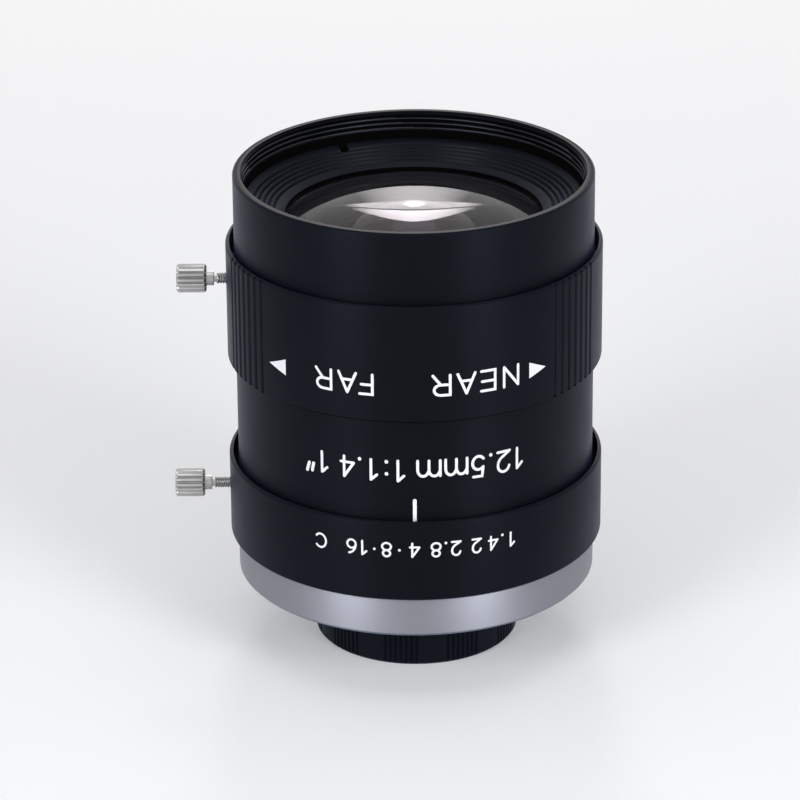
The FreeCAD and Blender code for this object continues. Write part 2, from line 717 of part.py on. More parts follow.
def make_front_tube():
    body = turned("front_tube", [
        ("tube_r", "tube_shoulder_z"),
        ("tube_r", "front_rim_z - rim_bevel"),
        ("tube_r - rim_bevel", "front_rim_z"),
        ("filter_bore_r + rim_bevel", "front_rim_z"),
        ("filter_bore_r", "front_rim_z - rim_bevel"),
        ("filter_bore_r", "cone_top_z"),
        ("head_bore_r", "cone_top_z"),
        ("head_bore_r", "head_seat_z"),
        ("slide_r + fit_gap", "head_seat_z"),
        ("slide_r + fit_gap", "keeper_bottom_z"),
        ("keeper_thread_r", "keeper_bottom_z"),
        ("keeper_thread_r", "keeper_top_z"),
        ("journal_r", "keeper_top_z"),
        ("journal_r", "tube_shoulder_z"),
    ])
    ring_groove(body, "stop_groove", rectangle(
        "stop_groove_r", "stop_screw_z - stop_screw_r - running_gap",
        "tube_r + cut_margin", "stop_screw_z + stop_screw_r + running_gap"),
        "stop_screw_angle", "stop_groove_angle")
    return body


def make_focus_ring():
    body = turned("focus_ring", [
        ("barrel_r + running_gap", "focus_ring_z"),
        ("focus_ring_r - ring_bottom_bevel", "focus_ring_z"),
        ("focus_ring_r", "focus_ring_z + ring_bottom_bevel"),
        ("focus_ring_r", "focus_top_z - ring_top_bevel"),
        ("focus_ring_r - ring_top_bevel", "focus_top_z"),
        ("focus_lip_r", "focus_top_z"),
        ("focus_lip_r", "focus_flange_top_z"),
        ("journal_r + running_gap", "focus_flange_top_z"),
        ("journal_r + running_gap", "focus_flange_bottom_z"),
        ("barrel_r + running_gap", "focus_flange_bottom_z"),
    ])
    radial_hole(body, "focus_lock_hole", "180", "focus_lock_z", "lock_thread_r + fit_gap")
    radial_hole(
        body, "stop_screw_hole", "stop_screw_angle", "stop_screw_z", "stop_screw_r + fit_gap")
    groove = long_groove(body, "grip_groove", [
        ("focus_ring_r - grip_groove_depth", "grip_groove_taper - grip_groove_half_width"),
        ("focus_ring_r + groove_margin", "-grip_groove_half_width"),
        ("focus_ring_r + groove_margin", "grip_groove_half_width"),
        ("focus_ring_r - grip_groove_depth", "grip_groove_half_width - grip_groove_taper"),
    ], "focus_top_z", "grip_first_angle")
    repeated(
        body, groove, ("grip_groove_count", "grip_group_angle"), ("grip_group_count", "360"))
    return body


def make_focus_keeper():
    return turned("focus_keeper_ring", rectangle(
        "keeper_thread_r + fit_gap", "keeper_bottom_z", "keeper_r", "keeper_top_z"))


def make_guide_pins():
    count = round(value("guide_pin_count"))
    return together("guide_pins", [
        radial_pin(f"guide_pin_{number}", f"{number} * 360 / {count}", "guide_pin_z",
                   "guide_pin_r", "guide_pin_inner_r", "guide_pin_outer_r")
        for number in range(count)])


# Lens barrel and front group

def make_lens_barrel():
    body = turned("lens_barrel", [
        ("front_glass_r + fit_gap", "head_top_z"),
        ("front_glass_r + fit_gap", "front_glass_back_z - fit_gap"),
        ("second_glass_r + fit_gap", "front_glass_back_z - fit_gap"),
        ("second_glass_r + fit_gap", "second_seat_z - fit_gap"),
        ("third_glass_r + fit_gap", "second_seat_z - fit_gap"),
        ("third_glass_r + fit_gap", "third_seat_z"),
        ("third_clear_r", "third_seat_z"),
        ("third_clear_r", "iris_shelf_z"),
        ("iris_bore_r", "iris_shelf_z"),
        ("iris_bore_r", "barrel_tail_z"),
        ("barrel_tail_r", "barrel_tail_z"),
        ("barrel_tail_r", "slide_bottom_z"),
        ("slide_r", "slide_bottom_z"),
        ("slide_r", "head_seat_z"),
        ("head_r", "head_seat_z"),
        ("head_r", "head_top_z"),
    ])
    hole = radial_hole(
        body, "guide_pin_hole", "0", "guide_pin_z", "guide_pin_r + fit_gap",
        start="guide_pin_inner_r - fit_gap")
    repeated(body, hole, ("guide_pin_count", "360"))
    ring_groove(body, "arm_window", rectangle(
        "iris_bore_r - cut_margin", "window_bottom_z", "barrel_tail_r + cut_margin", "window_top_z"),
        "drive_middle_angle", "window_angle")
    return body


def make_front_retaining_ring():
    """The ring that holds the front glass, with fine grooves turned in its cone."""
    slope = "front_cone_drop / (head_bore_r - fit_gap - front_clear_r)"
    grooves = []
    for number in range(round(value("rib_count")) - 1, -1, -1):
        middle = f"rib_first_r - {number} * rib_pitch"
        for side, depth in (("- rib_half_width", "0"), ("+ 0", "rib_depth"), ("+ rib_half_width", "0")):
            radius = f"{middle} {side}"
            grooves.append((radius, f"cone_bottom_z + ({radius} - front_clear_r) * {slope} - {depth}"))
    body = turned("front_retaining_ring", [
        ("front_glass_r + ring_relief", "head_top_z + fit_gap"),
        ("head_bore_r - fit_gap", "head_top_z + fit_gap"),
        ("head_bore_r - fit_gap", "cone_top_z"),
        *reversed(grooves),
        ("front_clear_r", "cone_bottom_z"),
        ("front_clear_r", "lip_bottom_z"),
        ("front_glass_r + ring_relief", "lip_bottom_z"),
    ])
    notch = long_groove(body, "spanner_notch", rectangle(
        "head_bore_r - spanner_notch_length", "-spanner_notch_width / 2",
        "head_bore_r + cut_margin", "spanner_notch_width / 2"),
        "cone_top_z", "spanner_notch_angle", "spanner_notch_depth")
    repeated(body, notch, ("2", "360"))
    return body


def make_front_group():
    turned("front_element", [
        ("0", "front_glass_hollow_z"),
        ("right", "0", "front_glass_hollow_z - front_glass_back_radius", 1),
        ("front_glass_hollow_r", None),
        ("front_glass_r", "front_glass_back_z"),
        ("front_glass_r", None),
        ("left", "0", "front_glass_vertex_z - front_glass_front_radius", 1),
        ("0", "front_glass_vertex_z"),
    ])
    turned("front_spacer_ring", [
        ("spacer_inner_r", "spacer_bottom_z"),
        ("second_glass_r", "spacer_bottom_z"),
        ("second_glass_r", "front_glass_back_z - fit_gap"),
        ("spacer_inner_r", "front_glass_back_z - fit_gap"),
    ])
    turned("second_element", [
        ("0", "second_glass_hollow_z"),
        ("right", "0", "second_glass_hollow_z - second_glass_back_radius", 1),
        ("second_glass_hollow_r", None),
        ("second_glass_r", "second_seat_z"),
        ("second_glass_r", None),
        ("left", "0", "second_glass_vertex_z - second_glass_front_radius", 1),
        ("0", "second_glass_vertex_z"),
    ])
    turned("third_element", [
        ("0", "third_glass_back_z"),
        ("left", "0", "third_glass_back_z + third_glass_back_radius", -1),
        ("third_glass_r", None),
        ("third_glass_r", None),
        ("left", "0", "third_glass_vertex_z - third_glass_front_radius", 1),
        ("0", "third_glass_vertex_z"),
    ])
    turned("third_element_ring", rectangle(
        "third_clear_r", "third_ring_z", "third_glass_r", "third_ring_z + third_ring_length"))


# Diaphragm

def make_iris_plate():
    body = turned("iris_base_plate", [
        ("stop_r", "plate_bottom_z"),
        ("plate_rim_inner_r", "plate_bottom_z"),
        ("plate_rim_inner_r", "cell_top_z + fit_gap"),
        ("cell_flange_r", "cell_top_z + fit_gap"),
        ("cell_flange_r", "iris_shelf_z - fit_gap"),
        ("stop_r", "iris_shelf_z - fit_gap"),
    ])
    sketch = new_sketch(body, "pivot_hole_circle", "XY_Plane", lift="plate_bottom_z")
    draw_circle(sketch, "blade_pivot_r", "0", "blade_pin_r + running_gap")
    hole = body.newObject("PartDesign::Pocket", "pivot_hole")
    hole.Profile = (sketch, [""])
    hole.Type = "ThroughAll"
    hole.Reversed = True
    repeated(body, hole, ("blade_count", "360"))
    ring_groove(body, "rim_window", rectangle(
        "plate_rim_inner_r - cut_margin", "window_bottom_z", "cell_flange_r + cut_margin", "window_top_z"),
        "drive_middle_angle", "window_angle")
    return body


def add_pad(body, name, sketch, length, upwards=True):
    """Thicken a sketch."""
    pad = body.newObject("PartDesign::Pad", name)
    pad.Profile = (sketch, [""])
    set_bound(pad, "Length", length)
    pad.Reversed = not upwards
    return pad


def add_disc(body, name, x, y, lift, radius, length, upwards=True):
    """A round boss or pin on a blade."""
    sketch = new_sketch(body, name + "_circle", "XY_Plane", lift=lift)
    draw_circle(sketch, x, y, radius)
    return add_pad(body, name, sketch, length, upwards)


def add_bar(body, name, corners, lift, length):
    """A flat bar on a blade, from its corners."""
    sketch = new_sketch(body, name + "_profile", "XY_Plane", lift=lift)
    draw(sketch, corners)
    return add_pad(body, name, sketch, length)


def make_iris_blade(number):
    """One blade, drawn fully open and then turned about its pivot to where it rests."""
    name = f"iris_blade_{number + 1}"
    layer = f"(plate_bottom_z - (blade_count - {number}) * blade_pitch + blade_top_gap)"
    body = doc.addObject("PartDesign::Body", name)
    body.Label = name
    tip_x = "cos(blade_span_angle)"
    tip_y = "sin(blade_span_angle)"
    sketch = new_sketch(body, name + "_strip_profile", "XY_Plane", lift=layer)
    draw(sketch, [
        ("blade_inner_r", "0"),
        ("blade_outer_r", "0"),
        ("left", "0", "0", 1),
        (f"blade_outer_r * {tip_x}", None),
        (f"blade_inner_r * {tip_x}", None),
        ("right", "0", "0", 1),
    ])
    add_pad(body, name + "_strip", sketch, "blade_thickness")
    lever_x = "(blade_pivot_r + lever_length * cos(lever_angle))"
    lever_y = "(lever_length * sin(lever_angle))"
    add_disc(body, name + "_tip", f"(blade_inner_r + blade_outer_r) / 2 * {tip_x}",
             f"(blade_inner_r + blade_outer_r) / 2 * {tip_y}", layer,
             "(blade_outer_r - blade_inner_r) / 2", "blade_thickness")
    add_disc(body, name + "_eye", "blade_pivot_r", "0", layer, "blade_eye_r", "blade_thickness")
    add_bar(body, name + "_neck", rectangle(
        "blade_outer_r - blade_neck_lap", "-blade_eye_r", "blade_pivot_r", "blade_eye_r"),
        layer, "blade_thickness")
    add_disc(body, name + "_lever_end", lever_x, lever_y, layer, "blade_eye_r", "blade_thickness")
    side_x = "(blade_eye_r * sin(lever_angle))"
    side_y = "(blade_eye_r * cos(lever_angle))"
    add_bar(body, name + "_lever", [
        (f"blade_pivot_r - {side_x}", side_y),
        (f"blade_pivot_r + {side_x}", f"-{side_y}"),
        (f"{lever_x} + {side_x}", f"{lever_y} - {side_y}"),
        (f"{lever_x} - {side_x}", f"{lever_y} + {side_y}"),
    ], layer, "blade_thickness")
    add_disc(body, name + "_pivot", "blade_pivot_r", "0", layer, "blade_pin_r",
             f"iris_shelf_z - pivot_top_gap - {layer}")
    add_disc(body, name + "_drive_pin", lever_x, lever_y, layer, "blade_pin_r",
             f"{layer} - cam_bottom_z - drive_pin_gap", upwards=False)
    opened = FreeCAD.Placement(
        Vector(), FreeCAD.Rotation(Vector(0, 0, 1), value("blade_rest_angle")),
        Vector(value("blade_pivot_r"), 0, 0))
    around = FreeCAD.Rotation(Vector(0, 0, 1), number * 360 / value("blade_count"))
    body.Placement = FreeCAD.Placement(Vector(), around) * opened
    return body


def cam_path(opening):
    """Where a blade's drive pin meets the cam ring when the ring has turned by an angle."""
    swing = math.radians(
        value("lever_angle") + value("blade_ratio") * (opening + value("aperture_open_angle")))
    pin = Vector(value("blade_pivot_r"), 0, 0) + Vector(
        math.cos(swing), math.sin(swing), 0) * value("lever_length")
    return FreeCAD.Rotation(Vector(0, 0, 1), -opening).multVec(pin)


def cam_slot():
    """The face of one cam slot, as wide as the pin needs along its whole path."""
    steps = 12
    first = -value("aperture_open_angle + cam_slot_spare_angle")
    last = value("aperture_close_angle + cam_slot_spare_angle")
    half = value("blade_pin_r + running_gap")
    inner, outer = [], []
    middle = []
    for step in range(steps + 1):
        opening = first + (last - first) * step / steps
        spot = cam_path(opening)
        ahead = cam_path(opening + 0.01) - cam_path(opening - 0.01)
        aside = Vector(-ahead.y, ahead.x, 0).normalize() * half
        middle.append((spot, ahead.normalize() * half))
        inner.append(spot + aside)
        outer.append(spot - aside)
    edges = []
    for side in (inner, list(reversed(outer))):
        curve = Part.BSplineCurve()
        curve.interpolate(side)
        edges.append(curve.toShape())
    end_spot, end_ahead = middle[-1]
    start_spot, start_ahead = middle[0]
    edges.insert(1, Part.Arc(inner[-1], end_spot + end_ahead, outer[-1]).toShape())
    edges.append(Part.Arc(outer[0], start_spot - start_ahead, inner[0]).toShape())
    return Part.Face(Part.Wire(edges))


def make_cam_ring():
    """The ring with the spiral slots, and the arm and tail that reach the drive screw."""
    bottom = value("cam_bottom_z")
    thick = value("cam_thickness")
    up = Vector(0, 0, 1)
    disc = Part.makeCylinder(value("plate_rim_inner_r - running_gap"), thick, Vector(0, 0, bottom))
    disc = disc.cut(Part.makeCylinder(value("cam_inner_r"), thick, Vector(0, 0, bottom)))
    slot = cam_slot().extrude(up * (thick + 1))
    slot.translate(up * (bottom - 0.5))
    for number in range(round(value("blade_count"))):
        cutter = slot.copy()
        cutter.rotate(Vector(), up, number * 360 / value("blade_count"))
        disc = disc.cut(cutter)
    half = value("cam_arm_half_width")
    tail_outer, tail_inner = value("cam_tail_outer_r"), value("cam_tail_inner_r")
    tail_bottom = value("cam_tail_z")
    start = value("plate_rim_inner_r - 1")
    arm = Part.makeBox(tail_outer - start, 2 * half, thick, Vector(start, -half, bottom))
    arm = arm.common(Part.makeCylinder(tail_outer, thick, Vector(0, 0, bottom)))
    height = bottom + thick - tail_bottom
    tail = Part.makeBox(tail_outer, 2 * half, height, Vector(0, -half, tail_bottom))
    tail = tail.common(Part.makeCylinder(tail_outer, height, Vector(0, 0, tail_bottom)))
    tail = tail.cut(Part.makeCylinder(tail_inner, height, Vector(0, 0, tail_bottom)))
    gap = value("drive_screw_r + running_gap")
    fork = Part.makeBox(
        tail_outer, 2 * gap, value("tail_slot_top_z") - tail_bottom,
        Vector(1, -gap, tail_bottom))
    tail = tail.cut(fork)
    arm = arm.fuse(tail)
    arm.rotate(Vector(), up, value("drive_angle"))
    ring = doc.addObject("Part::Feature", "iris_cam_ring")
    ring.Label = "iris_cam_ring"
    ring.Shape = disc.fuse(arm).removeSplitter()
    return ring


# Rear group

def make_rear_cell():
    return turned("rear_cell", [
        ("rear_clear_r", "cell_top_z"),
        ("rear_clear_r", "cell_seat_z"),
        ("rear_glass_r + fit_gap", "cell_seat_z"),
        ("rear_glass_r + fit_gap", "cell_bottom_z"),
        ("cell_nose_r", "cell_bottom_z"),
        ("cell_nose_r", "cell_step_z"),
        ("cell_body_r", "cell_step_z"),
        ("cell_body_r", "cell_flange_bottom_z"),
        ("cell_flange_r", "cell_flange_bottom_z"),
        ("cell_flange_r", "cell_top_z"),
    ])


def make_rear_group():
    turned("fourth_element", [
        ("0", "cement_z"),
        ("right", "0", "cement_z - cement_radius", 1),
        ("rear_glass_r", None),
        ("rear_glass_r", "cell_seat_z - fit_gap"),
        ("rear_hollow_r", None),
        ("right", "0", "fourth_hollow_z + fourth_front_radius", -1),
        ("0", "fourth_hollow_z"),
    ])
    turned("fifth_element", [
        ("0", "fifth_back_z"),
        ("left", "0", "fifth_back_z + fifth_back_radius", -1),
        ("rear_glass_r", None),
        ("rear_glass_r", None),
        ("left", "0", "cement_z - cement_gap - cement_radius", 1),
        ("0", "cement_z - cement_gap"),
    ])
    turned("rear_spacer_ring", rectangle(
        "rear_clear_r", "rear_spacer_bottom_z", "rear_glass_r", "rear_spacer_top_z"))
    turned("sixth_element", [
        ("0", "sixth_back_z"),
        ("left", "0", "sixth_back_z + sixth_back_radius", -1),
        ("rear_glass_r", None),
        ("rear_glass_r", None),
        ("left", "0", "sixth_front_z - sixth_front_radius", 1),
        ("0", "sixth_front_z"),
    ])
    turned("last_spacer_ring", rectangle(
        "rear_clear_r", "last_spacer_bottom_z", "rear_glass_r", "last_spacer_top_z"))
    turned("rear_element", [
        ("0", "seventh_back_z"),
        ("right", "0", "seventh_back_z - seventh_back_radius", 1),
        ("rear_hollow_r", None),
        ("rear_glass_r", "seventh_rim_z"),
        ("rear_glass_r", None),
        ("left", "0", "seventh_front_z - seventh_front_radius", 1),
        ("0", "seventh_front_z"),
    ])
    turned("rear_retaining_ring", rectangle(
        "rear_hollow_r + rear_ring_step", "rear_ring_z",
        "rear_glass_r", "rear_ring_z + rear_ring_length"))


# Aperture ring, lock screws and cap

def make_aperture_ring():
    body = turned("aperture_ring", [
        ("aperture_journal_r + running_gap", "aperture_ring_z"),
        ("aperture_ring_r - ring_bottom_bevel", "aperture_ring_z"),
        ("aperture_ring_r", "aperture_ring_z + ring_bottom_bevel"),
        ("aperture_ring_r", "aperture_top_z - ring_top_bevel"),
        ("aperture_ring_r - ring_top_bevel", "aperture_top_z"),
        ("aperture_lip_r", "aperture_top_z"),
        ("aperture_lip_r", "aperture_step_z"),
        ("aperture_journal_r + running_gap", "aperture_step_z"),
    ])
    radial_hole(body, "aperture_lock_hole", "180", "aperture_lock_z", "lock_thread_r + fit_gap")
    radial_hole(
        body, "drive_screw_hole", "drive_angle", "drive_screw_z", "drive_screw_r + fit_gap")
    return body


def make_lock_screw(label, height, tip, thread):
    """A knurled screw, turned about its own axis and then laid along -X."""
    collar = thread
    head = f"{thread} + lock_collar_length"
    end = f"{head} + lock_head_length"
    body = turned(label, [
        ("0", "0"),
        ("lock_thread_r", "0"),
        ("lock_thread_r", f"{thread} - lock_neck_length"),
        ("lock_neck_r", f"{thread} - lock_neck_length"),
        ("lock_neck_r", collar),
        ("lock_collar_r", collar),
        ("lock_collar_r", head),
        ("lock_head_r - lock_head_bevel", head),
        ("lock_head_r", f"{head} + lock_head_bevel"),
        ("lock_head_r", f"{end} - lock_head_bevel"),
        ("lock_head_r - lock_head_bevel", end),
        ("0", end),
    ])
    knurl = long_groove(body, label + "_knurl", [
        ("lock_head_r - knurl_depth", "0"),
        ("lock_head_r + groove_margin", "-knurl_half_width"),
        ("lock_head_r + groove_margin", "knurl_half_width"),
    ], end, "0", "lock_head_length")
    repeated(body, knurl, ("knurl_count", "360"))
    body.Placement = FreeCAD.Placement(
        Vector(-value(tip), 0, value(height)), FreeCAD.Rotation(Vector(0, 0, 1), Vector(-1, 0, 0)))
    return body


def make_locks():
    make_lock_screw("focus_lock_screw", "focus_lock_z", "focus_lock_tip_r", "focus_lock_thread")
    make_lock_screw(
        "aperture_lock_screw", "aperture_lock_z", "aperture_lock_tip_r", "aperture_lock_thread")
    radial_pin("focus_lock_pad", "180", "focus_lock_z", "pad_r",
               "journal_r + pad_gap", "focus_lock_tip_r - pad_gap")
    radial_pin("aperture_lock_pad", "180", "aperture_lock_z", "pad_r",
               "aperture_journal_r + pad_gap", "aperture_lock_tip_r - pad_gap")


def make_rear_cap():
    body = turned("rear_cap", [
        ("0", "-cap_length"),
        ("cap_r - cap_bevel", "-cap_length"),
        ("cap_r", "cap_bevel - cap_length"),
        ("cap_r", "-cap_bevel / 2"),
        ("cap_r - cap_bevel / 2", "0"),
        ("cap_bore_r", "0"),
        ("cap_bore_r", "cap_floor - cap_length"),
        ("0", "cap_floor - cap_length"),
    ])
    groove = long_groove(body, "cap_groove", [
        ("cap_r - cap_groove_depth", "0"),
        ("cap_r + groove_margin", "-cap_groove_half_width"),
        ("cap_r + groove_margin", "cap_groove_half_width"),
    ], "0", "cap_first_angle")
    repeated(body, groove, ("cap_groove_count", "(cap_groove_count - 1) * cap_groove_angle"),
             ("cap_group_count", "360"))
    return body


# Assembly

make_mount_ring()
make_mount_screws()
make_fixed_barrel()
make_front_tube()
make_focus_ring()
make_focus_keeper()
make_guide_pins()
make_lens_barrel()
make_front_retaining_ring()
make_front_group()
make_iris_plate()
for blade in range(round(value("blade_count"))):
    make_iris_blade(blade)
make_cam_ring()
make_rear_cell()
make_rear_group()
make_aperture_ring()
radial_pin("aperture_drive_screw", "drive_angle", "drive_screw_z", "drive_screw_r",
           "drive_screw_inner_r", "aperture_ring_r - drive_screw_sink")
radial_pin("focus_stop_screw", "stop_screw_angle", "stop_screw_z", "stop_screw_r",
           "stop_screw_inner_r", "focus_ring_r - stop_screw_sink")
make_locks()
make_rear_cap()
doc.removeObject("Spare")
doc.recompute()

# Export

NODES = [
    "mount_ring", "mount_screws", "fixed_barrel",
    "front_tube", "focus_ring", "focus_keeper_ring", "guide_pins", "focus_stop_screw",
    "lens_barrel", "front_retaining_ring", "front_element", "front_spacer_ring",
    "second_element", "third_element", "third_element_ring",
    "iris_base_plate", "iris_cam_ring",
    *[f"iris_blade_{number + 1}" for number in range(int(sizes.get("blade_count")))],
    "rear_cell", "fourth_element", "fifth_element", "rear_spacer_ring", "sixth_element",
    "last_spacer_ring", "rear_element", "rear_retaining_ring",
    "aperture_ring", "aperture_drive_screw",
    "focus_lock_screw", "focus_lock_pad", "aperture_lock_screw", "aperture_lock_pad",
    "rear_cap",
]

for item in doc.Objects:
    bad = [word for word in item.State if word in ("Invalid", "Error")]
    if bad:
        raise RuntimeError(f"{item.Name} did not build: {item.State}")
os.makedirs("parts", exist_ok=True)
for node in NODES:
    shape = doc.getObject(node).Shape
    if shape.isNull() or not shape.isValid():
        raise RuntimeError(f"{node} has no valid shape")
    shape.exportStep(os.path.join("parts", node + ".step"))
    print(f"{node}: {len(shape.Solids)} solid, {shape.Volume:.2f} mm3")
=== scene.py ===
"""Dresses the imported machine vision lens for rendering: finer turned pieces, threads, grip
grooves and marks in place of the plain solids, and procedural finishes on all of them."""

import json
import math

import bmesh
import bpy
from mathutils import Matrix, Vector

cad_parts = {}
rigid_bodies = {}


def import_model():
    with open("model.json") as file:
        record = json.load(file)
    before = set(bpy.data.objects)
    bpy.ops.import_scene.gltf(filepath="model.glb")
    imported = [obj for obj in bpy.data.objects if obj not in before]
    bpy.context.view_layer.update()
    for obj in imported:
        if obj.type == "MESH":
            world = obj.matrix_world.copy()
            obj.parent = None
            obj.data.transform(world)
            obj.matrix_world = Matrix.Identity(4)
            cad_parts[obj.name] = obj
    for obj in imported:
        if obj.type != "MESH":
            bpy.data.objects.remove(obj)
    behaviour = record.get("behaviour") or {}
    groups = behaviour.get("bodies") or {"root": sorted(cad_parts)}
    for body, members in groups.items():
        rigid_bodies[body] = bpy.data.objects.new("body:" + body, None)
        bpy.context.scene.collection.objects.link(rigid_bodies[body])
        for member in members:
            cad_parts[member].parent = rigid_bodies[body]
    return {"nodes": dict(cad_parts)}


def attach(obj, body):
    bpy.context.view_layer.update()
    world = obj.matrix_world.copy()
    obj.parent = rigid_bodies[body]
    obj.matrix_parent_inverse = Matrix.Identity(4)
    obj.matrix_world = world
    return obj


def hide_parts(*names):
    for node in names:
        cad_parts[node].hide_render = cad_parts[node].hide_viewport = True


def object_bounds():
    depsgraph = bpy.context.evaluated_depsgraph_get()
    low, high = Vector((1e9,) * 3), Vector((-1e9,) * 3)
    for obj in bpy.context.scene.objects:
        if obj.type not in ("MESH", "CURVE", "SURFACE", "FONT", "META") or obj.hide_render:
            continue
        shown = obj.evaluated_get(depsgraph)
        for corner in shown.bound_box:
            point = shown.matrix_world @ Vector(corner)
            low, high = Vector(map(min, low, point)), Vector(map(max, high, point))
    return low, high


bl_info = {
    "name": "Machine vision lens",
    "version": (1, 0, 0),
    "blender": (4, 5, 0),
    "location": "3D View > Sidebar > Lens",
    "description": "Builds the outer pieces, finishes, marks and studio of a C-mount lens",
    "category": "Object",
}

for leftover in list(bpy.data.objects):
    bpy.data.objects.remove(leftover)
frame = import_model()
CAD_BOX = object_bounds()

MM = 0.001
SHARP_FROM = 28  # degrees between faces, past which an edge stays sharp
ON_AXIS = 1e-6  # millimetres from Z, within which a point lies on it
HOLE_STEPS = 48  # steps around a drilled hole


# Sizes and colours

class LensSizes(bpy.types.PropertyGroup):
    """Sizes of the detail that the scene adds to the solids."""
    steps: bpy.props.IntProperty(
        name="Steps", description="Steps around a turned piece", default=288, min=48)
    edge: bpy.props.FloatProperty(
        name="Broken edge", description="Size of the rounding on outer edges",
        default=0.07 * MM, unit="LENGTH")
    filter_pitch: bpy.props.FloatProperty(
        name="Filter pitch", description="Pitch of the filter thread",
        default=0.75 * MM, unit="LENGTH")
    filter_depth: bpy.props.FloatProperty(
        name="Filter depth", description="Depth of the filter thread",
        default=0.36 * MM, unit="LENGTH")
    mount_pitch: bpy.props.FloatProperty(
        name="Mount pitch", description="Pitch of the mount thread",
        default=0.794 * MM, unit="LENGTH")
    mount_depth: bpy.props.FloatProperty(
        name="Mount depth", description="Depth of the mount thread",
        default=0.42 * MM, unit="LENGTH")
    screw_pitch: bpy.props.FloatProperty(
        name="Screw pitch", description="Pitch of the lock screws",
        default=0.35 * MM, unit="LENGTH")
    screw_depth: bpy.props.FloatProperty(
        name="Screw depth", description="Depth of the lock screw threads",
        default=0.19 * MM, unit="LENGTH")
    mark_height: bpy.props.FloatProperty(
        name="Mark height", description="How far the painted marks stand proud",
        default=0.015 * MM, unit="LENGTH")


class LensColours(bpy.types.PropertyGroup):
    """Base colours of the finishes."""
    anodised: bpy.props.FloatVectorProperty(
        name="Anodised", description="Satin black of the barrel and rings", subtype="COLOR",
        default=(0.0026, 0.0029, 0.0042))
    inside: bpy.props.FloatVectorProperty(
        name="Inside", description="Flat black of the inner walls", subtype="COLOR",
        default=(0.0022, 0.0022, 0.0025))
    silver: bpy.props.FloatVectorProperty(
        name="Silver", description="Clear anodised mount ring", subtype="COLOR",
        default=(0.265, 0.27, 0.306))
    steel: bpy.props.FloatVectorProperty(
        name="Steel", description="Bright screws and pins", subtype="COLOR",
        default=(0.36, 0.355, 0.355))
    blackened: bpy.props.FloatVectorProperty(
        name="Blackened steel", description="Iris blades and their cam ring", subtype="COLOR",
        default=(0.035, 0.035, 0.04))
    plastic: bpy.props.FloatVectorProperty(
        name="Plastic", description="Rear cap", subtype="COLOR",
        default=(0.0025, 0.0032, 0.0052))
    nylon: bpy.props.FloatVectorProperty(
        name="Nylon", description="Pads under the lock screws", subtype="COLOR",
        default=(0.72, 0.7, 0.66))
    paint: bpy.props.FloatVectorProperty(
        name="Paint", description="Marks on the rings", subtype="COLOR",
        default=(0.72, 0.73, 0.76))
    floor: bpy.props.FloatVectorProperty(
        name="Floor", description="Pale studio floor", subtype="COLOR",
        default=(0.9, 0.9, 0.91))


# Nodes

class Amount:
    """A number in a node tree. Plain maths on it adds the maths nodes."""

    def __init__(self, tree, socket):
        self.tree, self.socket = tree, socket

    def to(self, operation, *others, clamp=False):
        """The result of a maths node fed with this number and then with others."""
        return maths(self.tree, operation, self, *others, clamp=clamp)

    def __add__(self, other):
        return self.to("ADD", other)

    def __sub__(self, other):
        return self.to("SUBTRACT", other)

    def __rsub__(self, other):
        return maths(self.tree, "SUBTRACT", other, self)

    def __mul__(self, other):
        return self.to("MULTIPLY", other)

    def __truediv__(self, other):
        return self.to("DIVIDE", other)

    def slope(self, start, end, first=0, last=1):
        """A level that goes from first to last as this number goes from start to end."""
        node = add(self.tree, "ShaderNodeMapRange", Value=self, From_Min=start, From_Max=end,
                   To_Min=first, To_Max=last)
        return Amount(self.tree, node.outputs["Result"])


def feed(tree, socket, value):
    """Link an input to the output of a node, or set its value."""
    if isinstance(value, Amount):
        value = value.socket
    if isinstance(value, bpy.types.NodeSocket):
        tree.links.new(value, socket)
    else:
        socket.default_value = value


def fill(tree, node, **values):
    """Set a node's settings, in small letters, and feed its inputs, named with a capital."""
    for key, value in values.items():
        if key[0].islower():
            setattr(node, key, value)
        else:
            feed(tree, node.inputs[key.replace("_", " ")], value)
    return node


def add(tree, kind, **values):
    """A new node with its settings and inputs."""
    return fill(tree, tree.nodes.new(kind), **values)


def maths(tree, operation, *values, clamp=False):
    """The result of a maths node."""
    node = add(tree, "ShaderNodeMath", operation=operation, use_clamp=clamp)
    for socket, value in zip(node.inputs, values):
        feed(tree, socket, value)
    return Amount(tree, node.outputs[0])


def parts(tree, vector):
    """The three numbers of a vector."""
    split = add(tree, "ShaderNodeSeparateXYZ", Vector=vector)
    return [Amount(tree, socket) for socket in split.outputs]


# Materials

CLOUD_SCALE = 260  # how fine the unevenness of a finish is
GRAIN_REACH = 0.00002  # metres that grain and turning lines can stand up


def new_material(name):
    """An empty node material, its tree and its output."""
    surface = bpy.data.materials.new(name)
    if surface.name != name:
        raise RuntimeError(name + " is the name of another material")
    surface.use_nodes = True
    tree = surface.node_tree
    tree.nodes.clear()
    return surface, tree, tree.nodes.new("ShaderNodeOutputMaterial")


def clouded(tree, colour, low, high, scale, detail):
    """A colour that drifts between two shares of itself, with the clouds that it follows and
    the place on the piece."""
    place = add(tree, "ShaderNodeTexCoord").outputs["Object"]
    noise = add(tree, "ShaderNodeTexNoise", Vector=place, Scale=scale, Detail=detail)
    cloud = Amount(tree, noise.outputs["Fac"])
    tone = add(tree, "ShaderNodeMix", data_type="RGBA")
    feed(tree, tone.inputs[0], cloud)
    for index, share in ((6, low), (7, high)):
        tone.inputs[index].default_value = (*[min(1, c * share) for c in colour], 1)
    return tone.outputs[2], cloud, place


